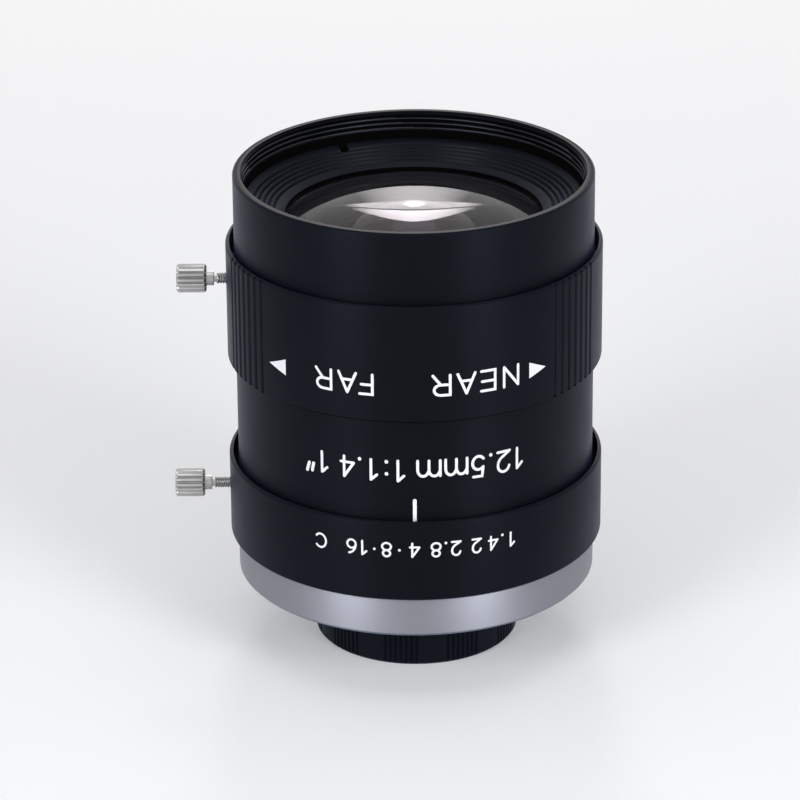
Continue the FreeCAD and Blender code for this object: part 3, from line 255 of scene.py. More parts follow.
def finish(name, colour, roughness, metallic=0, specular=0.5, index=1.5, tint=(1, 1, 1),
           turned_gloss=0, bloom=0, grain=9000, grain_depth=0.1, lines=0, line_depth=0,
           spread=0.12, rough_spread=0.06):
    """A turned or moulded surface: fine grain, turning lines along the axis, a bloom at
    grazing angles and slight unevenness in colour and gloss."""
    _, tree, output = new_material(name)
    tone, cloud, place = clouded(tree, colour, 1 - spread, 1 + spread, CLOUD_SCALE, 4)
    gloss = cloud.slope(0, 1, roughness - rough_spread, roughness + rough_spread)
    shader = add(
        tree, "ShaderNodeBsdfPrincipled", Base_Color=tone, Roughness=gloss, Metallic=metallic,
        Specular_IOR_Level=specular, IOR=index, Specular_Tint=(*tint, 1))
    if bloom:
        fill(tree, shader, Sheen_Weight=bloom, Sheen_Roughness=0.45,
             Sheen_Tint=(0.3, 0.42, 1, 1))
    if turned_gloss:
        around = add(tree, "ShaderNodeTangent", direction_type="RADIAL", axis="Z")
        fill(tree, shader, Anisotropic=turned_gloss, Anisotropic_Rotation=0.25,
             Tangent=around.outputs["Tangent"])
    speck = add(tree, "ShaderNodeTexNoise", Vector=place, Scale=grain, Detail=2)
    bump = add(tree, "ShaderNodeBump", Strength=grain_depth, Distance=GRAIN_REACH,
               Height=speck.outputs["Fac"])
    if lines:
        turning = add(tree, "ShaderNodeTexWave", wave_type="BANDS", bands_direction="Z",
                      Vector=place, Scale=lines, Distortion=1.5, Detail=3)
        bump = add(tree, "ShaderNodeBump", Strength=line_depth, Distance=GRAIN_REACH,
                   Height=turning.outputs["Fac"], Normal=bump.outputs["Normal"])
    fill(tree, shader, Normal=bump.outputs["Normal"])
    fill(tree, output, Surface=shader.outputs["BSDF"])


def glass_finish(name, tint, reflex, index):
    """Coated optical glass, faintly uneven in its tint and polish. The lower index at its
    surface stands for the coating."""
    _, tree, output = new_material(name)
    tone, cloud, _ = clouded(tree, tint, 0.99, 1, 90, 2)
    shader = add(
        tree, "ShaderNodeBsdfPrincipled", Base_Color=tone, Transmission_Weight=1, IOR=index,
        Roughness=cloud.slope(0, 1, 0, 0.02), Specular_Tint=(*reflex, 1))
    fill(tree, output, Surface=shader.outputs["BSDF"])


def make_materials(colours):
    """Every finish, by the name of its material."""
    cool = (0.72, 0.8, 1)
    finish("satin_black", colours.anodised, 0.43, specular=0.066, tint=cool,
           turned_gloss=0.75, bloom=0.075, grain=8000, grain_depth=0.15, lines=900,
           line_depth=0.05)
    finish("grooved_black", colours.anodised, 0.4, specular=0.09, tint=cool, bloom=0.07,
           grain=8000, grain_depth=0.12, lines=1500, line_depth=0.1)
    # Lighter and glossier than the barrel's black: painted light inside the grip grooves,
    # which makes up for the shade that falls in them.
    finish("groove_floor_black", (0.01, 0.0115, 0.016), 0.45, specular=0.14, tint=cool,
           grain=6000)
    finish("rim_black", colours.anodised, 0.15, index=1.08, tint=cool, grain=8000,
           rough_spread=0.04)
    finish("flat_black", colours.inside, 0.8, specular=0.012, grain=6000, grain_depth=0.06,
           lines=700, line_depth=0.06)
    finish("thread_black", colours.inside, 0.36, specular=0.35, tint=cool, grain=6000)
    finish("edge_ink", (0.022, 0.022, 0.025), 0.6, specular=0.1, grain_depth=0.02)
    finish("moulded_black", colours.plastic, 0.5, specular=0.08, tint=cool, bloom=0.06,
           grain=5000, grain_depth=0.3)
    finish("clear_anodised", colours.silver, 0.52, metallic=1, turned_gloss=0.7,
           grain_depth=0.08, lines=1300, line_depth=0.08, spread=0.03)
    # A darker, bluer silver for the lower chamfer: painted shade where the chamfer faces the
    # floor under the lens.
    finish("silver_edge", (0.13, 0.165, 0.22), 0.4, metallic=1, turned_gloss=0.75,
           spread=0.03)
    finish("machined_steel", colours.steel, 0.33, metallic=1, grain=2600, grain_depth=0.6,
           spread=0.2, rough_spread=0.12)
    finish("blued_steel", colours.blackened, 0.42, metallic=0.6, grain=5000,
           grain_depth=0.15)
    finish("natural_nylon", colours.nylon, 0.5, grain=4000, grain_depth=0.2, spread=0.04)
    finish("white_paint", colours.paint, 0.5, specular=0.3, grain_depth=0.15, spread=0.02)
    glass_finish("front_coating", (0.965, 0.94, 0.96), reflex=(1, 0.84, 0.93), index=1.3)
    glass_finish("inner_coating", (0.97, 0.985, 0.98), reflex=(0.62, 0.5, 0.72), index=1.45)


# Turned pieces

def arc(centre_z, radius, start_r, end_r, steps):
    """Points of a spherical face, from one radius to another."""
    points = []
    for step in range(steps + 1):
        r = start_r + (end_r - start_r) * step / steps
        points.append((r, centre_z + math.sqrt(radius * radius - r * r)))
    return points


def between(first, last, step):
    """Heights from first to last, about a step apart."""
    count = max(1, round(abs(last - first) / step))
    return [first + (last - first) * index / count for index in range(count + 1)]


def softened(outline, size, least_turn=25, most_share=0.4):
    """Round the outer corners of a closed outline that turn by at least some degrees. A
    rounding takes up no more than a share of either side."""
    result = []
    for index, here in enumerate(outline):
        corner = Vector(here)
        into = corner - Vector(outline[index - 1])
        out = Vector(outline[(index + 1) % len(outline)]) - corner
        both = into.length * out.length
        turn = (into.x * out.y - into.y * out.x) / both if both else 0
        nearly_straight = into.dot(out) > 0 and turn < math.sin(math.radians(least_turn))
        if corner.x < ON_AXIS or turn <= 0 or nearly_straight:
            result.append(here)
            continue
        cut = min(size, into.length * most_share, out.length * most_share)
        first = corner - into.normalized() * cut
        last = corner + out.normalized() * cut
        for share in (0, 0.33, 0.67, 1):
            rest = 1 - share
            point = first * rest ** 2 + corner * 2 * share * rest + last * share ** 2
            result.append((point.x, point.y))
    return result


def even(steps):
    """Angles in degrees, evenly spaced around a turn."""
    return [360 * step / steps for step in range(steps)]


def turned(name, outline, angles):
    """A solid turned about Z from a closed outline of radius and height in millimetres, with
    the solid on the outline's left."""
    points, rows = [], []
    for r, z in outline:
        if r < ON_AXIS:
            rows.append([len(points)] * len(angles))
            points.append((0, 0, z * MM))
            continue
        rows.append(list(range(len(points), len(points) + len(angles))))
        for angle in angles:
            turn = math.radians(angle)
            points.append((r * math.cos(turn) * MM, r * math.sin(turn) * MM, z * MM))
    faces = []
    for low, high in zip(rows, rows[1:] + rows[:1]):
        for j in range(len(angles)):
            k = (j + 1) % len(angles)
            corners = list(dict.fromkeys((low[j], low[k], high[k], high[j])))
            if len(corners) > 2:
                faces.append(corners)
    mesh = bpy.data.meshes.new(name)
    mesh.from_pydata(points, [], faces)
    mesh.validate()
    return dressed(name, mesh)


def smoothed(mesh):
    """Shade a mesh smooth, apart from its sharp edges."""
    mesh.polygons.foreach_set("use_smooth", [True] * len(mesh.polygons))
    mesh.set_sharp_from_angle(angle=math.radians(SHARP_FROM))


def dressed(name, mesh):
    """The object of a mesh, shaded smooth."""
    smoothed(mesh)
    piece = bpy.data.objects.new(name, mesh)
    bpy.context.scene.collection.objects.link(piece)
    return piece


def from_build(name, build):
    """The object of a bmesh, which is freed."""
    mesh = bpy.data.meshes.new(name)
    build.to_mesh(mesh)
    build.free()
    return dressed(name, mesh)


# Geometry node trees

def tree_with_inputs(name, **inputs):
    """A geometry node tree with named inputs and its two ends, and its inputs by name."""
    tree = bpy.data.node_groups.new(name, "GeometryNodeTree")
    new = tree.interface.new_socket
    new("Geometry", in_out="INPUT", socket_type="NodeSocketGeometry")
    labels = {key: key.replace("_", " ").title() for key in inputs}
    for key, default in inputs.items():
        socket = new(labels[key], in_out="INPUT", socket_type="NodeSocketFloat")
        socket.default_value = default
    new("Material", in_out="INPUT", socket_type="NodeSocketMaterial")
    new("Geometry", in_out="OUTPUT", socket_type="NodeSocketGeometry")
    add(tree, "NodeGroupOutput", name="end")
    start = add(tree, "NodeGroupInput", name="start")
    return tree, [Amount(tree, start.outputs[label]) for label in labels.values()]


def move_and_end(tree, x, y, z):
    """Move every point, and close a tree with Realize Instances and Set Material."""
    start = tree.nodes["start"].outputs
    join = add(tree, "ShaderNodeCombineXYZ", X=x, Y=y, Z=z)
    place = add(tree, "GeometryNodeSetPosition", Geometry=start["Geometry"],
                Position=join.outputs[0])
    real = add(tree, "GeometryNodeRealizeInstances", Geometry=place.outputs["Geometry"])
    paint = add(tree, "GeometryNodeSetMaterial", Geometry=real.outputs["Geometry"],
                Material=start["Material"])
    fill(tree, tree.nodes["end"], Geometry=paint.outputs["Geometry"])


def point_in(tree):
    """The x, y and z of each point."""
    return parts(tree, add(tree, "GeometryNodeInputPosition").outputs[0])


def polar(x, y):
    """The radius of each point, and its angle in degrees."""
    return (x * x + y * y).to("SQRT"), y.to("ARCTAN2", x) * math.degrees(1)


def set_radius(tree, x, y, z, radius, new_radius):
    """Give each point a new radius at its own angle and height, and close the tree."""
    share = new_radius / radius.to("MAXIMUM", 1e-6)
    move_and_end(tree, x * share, y * share, z)


def groove_tree():
    """Upright grooves in groups around a turned piece."""
    tree, (wall, depth, half_width, taper, pitch, count, first, group_turn) = \
        tree_with_inputs(
            "upright_grooves", radius=0.0267, depth=0.00034, half_width=0.00036,
            taper=0.00014, pitch=3.4, count=7, first=-43.2, group_turn=120)
    x, y, z = point_in(tree)
    radius, angle = polar(x, y)
    half = pitch * 0.5
    in_group = (angle - first + half).to("FLOORED_MODULO", group_turn) - half
    nearest = (in_group / pitch).to("ROUND").to("MINIMUM", count - 1).to("MAXIMUM", 0)
    off = (in_group - nearest * pitch).to("ABSOLUTE") * math.radians(1) * wall
    share = (half_width - off).to("DIVIDE", taper, clamp=True)
    set_radius(tree, x, y, z, radius, radius.to("MINIMUM", wall - share * depth))


def thread_tree():
    """A helical thread pressed into the cylinder of one radius between two heights."""
    tree, (wall, depth, pitch, bottom, top, run_out) = tree_with_inputs(
        "helical_thread", radius=0.0127, depth=-0.0004, pitch=0.000794, bottom=-0.0036,
        top=0, run_out=0.0004)
    x, y, z = point_in(tree)
    radius, angle = polar(x, y)
    turn = z / pitch - angle / 360
    steepness, crest = 2.6, 0.3
    flank = (turn.to("PINGPONG", 0.5) * steepness).to("SUBTRACT", crest, clamp=True)
    low = (z - bottom).to("DIVIDE", run_out, clamp=True)
    high = (top - z).to("DIVIDE", run_out, clamp=True)
    on_wall = radius.to("COMPARE", wall, 0.00002)
    amount = flank * on_wall * (low * high)
    set_radius(tree, x, y, z, radius, radius + amount * depth)


def wrap_tree():
    """Lay a flat drawing on a cylinder: X runs round it, Y down it and Z outwards."""
    tree, (radius, height) = tree_with_inputs("marks_on_ring", radius=0.0267, height=0.04)
    x, y, z = point_in(tree)
    around = 0 - x / radius
    reach = radius + z
    move_and_end(tree, reach * around.to("SINE"), reach * -1 * around.to("COSINE"),
                 height - y)


def shaped(piece, tree_name, paint, **values):
    """Run a node tree on a piece and keep its result as the piece's mesh."""
    tree = bpy.data.node_groups[tree_name]
    modifier = piece.modifiers.new(tree_name, "NODES")
    modifier.node_group = tree
    wanted = {key.replace("_", " ").title(): float(value) for key, value in values.items()}
    wanted["Material"] = bpy.data.materials[paint]
    for socket in tree.interface.items_tree:
        if socket.in_out == "INPUT" and socket.name in wanted:
            modifier[socket.identifier] = wanted.pop(socket.name)
    if wanted:
        raise RuntimeError("no such input: " + ", ".join(wanted))
    return applied(piece)


def applied(piece):
    """Turn a piece's modifiers into its mesh."""
    graph = bpy.context.evaluated_depsgraph_get()
    mesh = bpy.data.meshes.new_from_object(piece.evaluated_get(graph))
    piece.modifiers.clear()
    old = piece.data
    piece.data = mesh
    bpy.data.meshes.remove(old)
    mesh.name = piece.name
    smoothed(mesh)
    return piece


# Work on a piece

def threaded(piece, paint, depth, pitch, radius, bottom, top, run_out):
    """Press a thread into the wall of a radius, between two heights in millimetres. Its
    depth and pitch are in metres."""
    shaped(piece, "helical_thread", paint, radius=radius * MM, depth=depth, pitch=pitch,
           bottom=bottom * MM, top=top * MM, run_out=run_out * MM)


def grooved(name, outline, paint, steps, radius, depth, half_width, floor, taper, first, pitch,
            count, groups):
    """A turned piece with groups of upright grooves. Steps around it fall on the edges of
    each groove and of its floor. Angles are in degrees, the rest in millimetres."""
    outer, inner = math.degrees(half_width / radius), math.degrees(floor / radius)
    middles = [first + group * 360 / groups + number * pitch
               for group in range(groups) for number in range(count)]
    angles = {round((middle + edge) % 360, 5)
              for middle in middles for edge in (-outer, -inner, inner, outer)}
    for angle in even(steps):
        if min(abs((angle - middle + 180) % 360 - 180) for middle in middles) > outer + 0.2:
            angles.add(round(angle, 5))
    return shaped(
        turned(name, outline, sorted(angles)), "upright_grooves", paint, radius=radius * MM,
        depth=depth * MM, half_width=half_width * MM, taper=taper * MM, pitch=pitch,
        count=count, first=first, group_turn=360 / groups)


def carved(piece, *cutters):
    """Cut other pieces out of one and remove them."""
    for cutter in cutters:
        modifier = piece.modifiers.new("cut", "BOOLEAN")
        modifier.operation = "DIFFERENCE"
        modifier.solver = "EXACT"
        modifier.object = cutter
    applied(piece)
    for cutter in cutters:
        bpy.data.objects.remove(cutter)


def drill(radius, direction, height):
    """A cutter for a round hole through a ring, at a direction in degrees and a height."""
    turn = math.radians(direction)
    outward = Vector((math.cos(turn), math.sin(turn), 0))
    basis = outward.to_track_quat("Z", "Y").to_matrix().to_4x4()
    bit = turned("hole", [(0, 23), (radius, 23), (radius, 28), (0, 28)], even(HOLE_STEPS))
    bit.data.transform(Matrix.Translation((0, 0, height * MM)) @ basis)
    return bit


def block(name, low, high, turn):
    """A plain cutting block between two corners, turned about Z."""
    build = bmesh.new()
    bmesh.ops.create_cube(build, size=1)
    for vert in build.verts:
        vert.co = Vector([(low[i] + high[i]) / 2 + vert.co[i] * (high[i] - low[i])
                          for i in range(3)]) * MM
    bmesh.ops.rotate(build, verts=build.verts, cent=(0, 0, 0),
                     matrix=Matrix.Rotation(math.radians(turn), 3, "Z"))
    return from_build(name, build)


def passes(point, test):
    """Whether a point's radius and height in millimetres pass a test."""
    x, y, z = point / MM
    return test(math.hypot(x, y), z)


def painted(piece, main, **others):
    """Give a piece its main finish, and others where the middle of a face passes a test."""
    piece.data.materials.clear()
    for name in (main, *others):
        piece.data.materials.append(bpy.data.materials[name])
    for index, test in enumerate(others.values(), 1):
        for face in piece.data.polygons:
            if passes(face.center, test):
                face.material_index = index


def eased(piece, test):
    """Shade smoothly across the edges whose ends pass a test."""
    near = [passes(vert.co, test) for vert in piece.data.vertices]
    for edge in piece.data.edges:
        if near[edge.vertices[0]] and near[edge.vertices[1]]:
            edge.use_edge_sharp = False


# Operators, one for each piece or group of like pieces

# The finish of each solid, by the first of these words that its name holds
SOLID_FINISHES = {
    "element_ring": "flat_black", "element": "inner_coating", "iris": "blued_steel",
    "screw": "machined_steel", "pins": "machined_steel", "pad": "natural_nylon",
    "fixed_barrel": "satin_black", "focus_ring": "satin_black",
    "aperture_ring": "satin_black", "front_tube": "satin_black",
    "front_retaining_ring": "satin_black", "mount_ring": "clear_anodised",
    "rear_cap": "moulded_black", "": "flat_black"}


class LENS_OT_finishes(bpy.types.Operator):
    """Make the materials and give them to the pieces that stay as they are"""
    bl_idname = "lens.finishes"
    bl_label = "Finishes"

    def execute(self, context):
        make_materials(context.scene.lens_colours)
        groove_tree()
        thread_tree()
        wrap_tree()
        for name, node in frame["nodes"].items():
            paint = next(paint for word, paint in SOLID_FINISHES.items() if word in name)
            if not node.data.materials:
                node.data.materials.append(None)
            for slot in node.material_slots:
                slot.link = "OBJECT"
                slot.material = bpy.data.materials[paint]
        return {"FINISHED"}


def stop_groove(middle=57, reach=73.28, steps=90):
    """A cutter for the groove that the stop screw runs in, around the front tube."""
    profile = ((23.85, 45.64), (26, 45.64), (26, 46.74), (23.85, 46.74))
    build = bmesh.new()
    rings = []
    for step in range(steps + 1):
        turn = math.radians(middle) + math.radians(reach) * (2 * step / steps - 1)
        x, y = math.cos(turn) * MM, math.sin(turn) * MM
        rings.append([build.verts.new((r * x, r * y, z * MM)) for r, z in profile])
    for one, two in zip(rings, rings[1:]):
        for index in range(4):
            after = (index + 1) % 4
            build.faces.new((one[index], one[after], two[after], two[index]))
    build.faces.new(reversed(rings[0]))
    build.faces.new(rings[-1])
    bmesh.ops.recalc_face_normals(build, faces=build.faces)
    return from_build("stop_groove", build)


class LENS_OT_front_tube(bpy.types.Operator):
    """Make the front tube with its filter thread"""
    bl_idname = "lens.front_tube"
    bl_label = "Front tube"

    def execute(self, context):
        sizes = context.scene.lens_sizes
        wall = [(24.1, z) for z in between(60.26, 56.56, 0.075)]
        outline = softened([
            (25.5, 47.34), (25.5, 60.26), (25.2, 60.56), (24.4, 60.56), *wall, (23.8, 56.56),
            (23.8, 50), (22.42, 50), (22.42, 42.09), (24.2, 42.09), (24.2, 43.04),
            (24.6, 43.04), (24.6, 47.34)], sizes.edge / MM)
        piece = turned("front_tube_turned", outline, even(sizes.steps))
        threaded(piece, "satin_black", sizes.filter_depth, sizes.filter_pitch, radius=24.1,
                 bottom=57.85, top=60.2, run_out=0.25)
        carved(piece, stop_groove())
        painted(piece, "satin_black",
                flat_black=lambda r, z: r < 24.55 and z < 60.2 or r < 23.9,
                thread_black=lambda r, z: r < 24.2 and 57.8 < z < 60.2,
                rim_black=lambda r, z: r < 25.19 and z > 60.3)
        eased(piece, lambda r, z: r < 24.6 and 57.7 < z < 60.2)
        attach(piece, "carriage")
        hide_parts("front_tube")
        return {"FINISHED"}


class LENS_OT_front_retaining_ring(bpy.types.Operator):
    """Make the grooved cone that holds the front glass"""
    bl_idname = "lens.front_retaining_ring"
    bl_label = "Front retaining ring"

    def execute(self, context):
        inner_r, outer_r, inner_z, outer_z = 18.2, 23.78, 54.16, 56.56
        slope = (outer_z - inner_z) / (outer_r - inner_r)
        cone = []
        for number in range(5):
            middle = 22.55 - number * 0.72
            for offset, depth in ((0.22, 0), (0.06, 0.34), (-0.06, 0.34), (-0.22, 0)):
                r = middle + offset
                cone.append((r, inner_z + (r - inner_r) * slope - depth))
        outline = softened([
            (20.3, 52.02), (outer_r, 52.02), (outer_r, outer_z), *cone, (inner_r, inner_z),
            (inner_r, 53.71), (20.3, 53.71)], 0.04)
        piece = turned("front_retaining_ring_turned", outline,
                       even(context.scene.lens_sizes.steps))
        carved(piece, *[block("notch", (22.2, -0.65, 55.36), (24.3, 0.65, 57), turn)
                        for turn in (116, 296)])
        painted(piece, "grooved_black", flat_black=lambda r, z: r < 18.25)
        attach(piece, "carriage")
        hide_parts("front_retaining_ring")
        return {"FINISHED"}


class LENS_OT_front_glass(bpy.types.Operator):
    """Make the coated front glass"""
    bl_idname = "lens.front_glass"
    bl_label = "Front glass"

    def execute(self, context):
        vertex, hollow, back = 56.5169, 54.3169, 47.3169
        front_bend, hollow_bend = 60, 17.5
        outline = [
            (0, hollow), *arc(hollow - hollow_bend, hollow_bend, 0.35, 14, 56),
            (20, back), *arc(vertex - front_bend, front_bend, 20, 0.35, 48), (0, vertex)]
        piece = turned("front_glass_turned", outline, even(192))
        painted(piece, "front_coating",
                edge_ink=lambda r, z: r > 19.9 or r > 14.1 and z < back + 0.01)
        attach(piece, "carriage")
        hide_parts("front_element")
        return {"FINISHED"}


class LENS_OT_focus_ring(bpy.types.Operator):
    """Make the focus ring with its grip grooves"""
    bl_idname = "lens.focus_ring"
    bl_label = "Focus ring"

    def execute(self, context):
        sizes = context.scene.lens_sizes
        outline = softened([
            (25.55, 33.23), (26.45, 33.23), (26.7, 33.48), (26.7, 49.99), (26.4, 50.29),
            (26.15, 50.29), (26.15, 47.29), (24.65, 47.29), (24.65, 43.09), (25.55, 43.09)],
            sizes.edge / MM)
        piece = grooved("focus_ring_turned", outline, "satin_black", sizes.steps, radius=26.7,
                        depth=0.34, half_width=0.36, floor=0.22, taper=0.14, first=-43.2,
                        pitch=3.4, count=7, groups=3)
        carved(piece, drill(0.82, 180, 44.3), drill(0.52, 57, 46.19))
        # The walls and floors of the grip grooves get the lighter black, painted light against
        # the shade in them.
        painted(piece, "satin_black",
                groove_floor_black=lambda r, z: 26.2 < r < 26.66 and 33.6 < z < 49.9,
                flat_black=lambda r, z: r < 26.69 and z < 33.46)
        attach(piece, "focus_ring")
        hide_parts("focus_ring")
        return {"FINISHED"}


class LENS_OT_aperture_ring(bpy.types.Operator):
    """Make the aperture ring"""
    bl_idname = "lens.aperture_ring"
    bl_label = "Aperture ring"

    def execute(self, context):
        sizes = context.scene.lens_sizes
        outline = softened([
            (24.95, 6.15), (26.55, 6.15), (26.8, 6.4), (26.8, 17.85), (26.5, 18.15),
            (26.2, 18.15), (26.2, 16.45), (24.95, 16.45)], sizes.edge / MM)
        piece = turned("aperture_ring_turned", outline, even(sizes.steps))
        carved(piece, drill(0.82, 180, 12.5), drill(1.02, 90, 11.5))
        painted(piece, "satin_black", flat_black=lambda r, z: r < 26.25 and z > 16.4)
        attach(piece, "aperture_ring")
        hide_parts("aperture_ring")
        return {"FINISHED"}


class LENS_OT_mount_ring(bpy.types.Operator):
    """Make the silver mount ring with the thread on its stub"""
    bl_idname = "lens.mount_ring"
    bl_label = "Mount ring"

    def execute(self, context):
        sizes = context.scene.lens_sizes
        stub = [(12.7, z) for z in between(-3.6, 0, 0.08)]
        outline = softened([
            (11.3, -4), (12.3, -4), *stub, (25.2, 0), (25.7, 0.5), (25.7, 6.1),
            (23.72, 6.1), (23.72, 2.1), (11.3, 2.1)], sizes.edge / MM)
        piece = turned("mount_ring_turned", outline, even(sizes.steps))
        threaded(piece, "clear_anodised", -sizes.mount_depth, sizes.mount_pitch,
                 radius=12.7, bottom=-3.75, top=-0.45, run_out=0.4)
        sunk = [(0, -0.5), (1.5, -0.5), (1.5, 0.05), (0.85, 0.7), (0.85, 3), (0, 3)]
        cutters = []
        for number in range(3):
            turn = math.radians(30 + 120 * number)
            spot = Vector((22.6 * math.cos(turn), 22.6 * math.sin(turn), 0)) * MM
            cutters.append(turned("hole", sunk, even(HOLE_STEPS)))
            cutters[-1].data.transform(Matrix.Translation(spot))
        carved(piece, *cutters)
        # The lower chamfer gets the darker silver, painted shade where it faces the floor.
        painted(piece, "clear_anodised",
                silver_edge=lambda r, z: r > 25.2 and 0 < z < 0.46)
        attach(piece, "barrel")
        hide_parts("mount_ring")
        return {"FINISHED"}


class LENS_OT_rear_cap(bpy.types.Operator):
    """Make the rear cap with its fine grip grooves"""
    bl_idname = "lens.rear_cap"
    bl_label = "Rear cap"

    def execute(self, context):
        outline = softened([
            (0, -10.03), (14.22, -10.03), (14.62, -9.63), (14.62, -0.2), (14.42, 0),
            (13.35, 0), (13.35, -8.53), (0, -8.53)], context.scene.lens_sizes.edge / MM)
        piece = grooved("rear_cap_moulded", outline, "moulded_black", 240, radius=14.62,
                        depth=0.28, half_width=0.25, floor=0.03, taper=0.22, first=-108,
                        pitch=3, count=7, groups=10)
        painted(piece, "moulded_black")
        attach(piece, "rear_cap")
        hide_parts("rear_cap")
        return {"FINISHED"}


class LENS_OT_lock_screws(bpy.types.Operator):
    """Make the two knurled lock screws with their threads"""
    bl_idname = "lens.lock_screws"
    bl_label = "Lock screws"

    def execute(self, context):
        sizes = context.scene.lens_sizes
        for name, height, tip, thread in (("focus_lock_screw", 44.3, 25.15, 3.3),
                                          ("aperture_lock_screw", 12.5, 25.55, 3.9)):
            head = thread + 1.05
            end = head + 4.2
            shank = [(0.8, z) for z in between(0, thread - 0.4, 0.044)]
            outline = softened([
                (0, 0), *shank, (0.55, thread - 0.4), (0.55, thread), (1.05, thread),
                (1.05, head), (1.8, head), (2.05, head + 0.25), (2.05, end - 0.25),
                (1.8, end), (0, end)], 0.05)
            piece = grooved(name + "_knurled", outline, "machined_steel", 96, radius=2.05,
                            depth=0.28, half_width=0.24, floor=0.024, taper=0.22, first=0,
                            pitch=22.5, count=16, groups=1)
            threaded(piece, "machined_steel", -sizes.screw_depth, sizes.screw_pitch,
                     radius=0.8, bottom=0.1, top=thread - 0.45, run_out=0.1)
            inwards = Matrix.Rotation(math.radians(-90), 4, "Y")
            piece.data.transform(
                Matrix.Translation((-tip * MM, 0, height * MM)) @ inwards)
            painted(piece, "machined_steel")
            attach(piece, name)
            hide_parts(name)
        return {"FINISHED"}


# Marks

def bend(cx, cy, rx, ry, start, end, steps):
    """Points of an elliptical arc, with angles in degrees from the right, anticlockwise."""
    turns = [math.radians(start + (end - start) * step / steps) for step in range(steps + 1)]
    return [(cx + rx * math.cos(turn), cy + ry * math.sin(turn)) for turn in turns]


# The pen strokes of each character, at a height of 1 and from its left edge
STROKES = {
    "1": [[(0, 0.74), (0.3, 1), (0.3, 0)]],
    "2": [bend(0.34, 0.68, 0.32, 0.32, 170, 0, 9) + bend(0.1, 0.66, 0.56, 0.5, -8, -50, 5)
          + [(0, 0), (0.68, 0)]],
    "4": [[(0.72, 0.28), (0, 0.28), (0.54, 1), (0.54, 0)]],
    "5": [[(0.58, 1), (0.12, 1), (0.06, 0.54)]
          + bend(0.31, 0.33, 0.32, 0.33, 135, -145, 14)],
    "6": [bend(0.34, 0.31, 0.33, 0.31, 180, -180, 20),
          bend(0.62, 0.31, 0.61, 0.69, 180, 98, 8)],
    "8": [bend(0.33, 0.27, 0.33, 0.27, 90, 450, 20),
          bend(0.33, 0.77, 0.27, 0.23, 270, -90, 18)],
    "C": [bend(0.42, 0.5, 0.42, 0.5, 42, 318, 18)],
    "F": [[(0.62, 1), (0, 1), (0, 0)], [(0, 0.52), (0.54, 0.52)]],
    "A": [[(0, 0), (0.44, 1), (0.88, 0)], [(0.16, 0.36), (0.72, 0.36)]],
    "R": [[(0, 0), (0, 1)] + bend(0.46, 0.74, 0.3, 0.26, 90, -90, 10)
          + [(0, 0.48)], [(0.44, 0.48), (0.82, 0)]],
    "N": [[(0, 0), (0, 1), (0.8, 0), (0.8, 1)]],
    "E": [[(0.7, 1), (0, 1), (0, 0), (0.7, 0)], [(0, 0.52), (0.66, 0.52)]],
    "m": [[(0, 0), (0, 0.76)],
          [(0, 0.5)] + bend(0.26, 0.46, 0.24, 0.3, 160, 0, 8) + [(0.5, 0)],
          [(0.5, 0.5)] + bend(0.76, 0.46, 0.24, 0.3, 160, 0, 8) + [(1, 0)]],
    ".": [[(0, 0.03), (0, 0.04)]],
    "-": [[(0, 0.5), (0, 0.51)]],
    ":": [[(0, 0.06), (0, 0.07)], [(0, 0.66), (0, 0.67)]],
    '"': [[(0, 0.69), (0.05, 1.05)], [(0.15, 0.7), (0.225, 1.09)]],
    "|": [[(0, 0), (0, 1)]],
}
# The pen's width for a sign, as a share of its width for a letter
PEN_SHARE = {".": 1.3, ":": 1.3, "-": 1.25, "|": 1.35, '"': 1.25}
MARK_FOOT = -0.06  # millimetres that a mark reaches into its ring
PEN_STEP = 0.6  # millimetres between a stroke's points at most, so that it can bend
ROUND_STEPS = 6  # steps in the round end of a stroke


def pen_lifts(points):
    """A stroke split where it turns back sharply, so that each part has a round end there."""
    runs = [[points[0]]]
    for before, here, after in zip(points, points[1:], points[2:]):
        runs[-1].append(here)
        into = Vector(here) - Vector(before)
        out = Vector(after) - Vector(here)
        if into.dot(out) < -0.1 * into.length * out.length:
            runs.append([here])
    runs[-1].append(points[-1])
    return runs


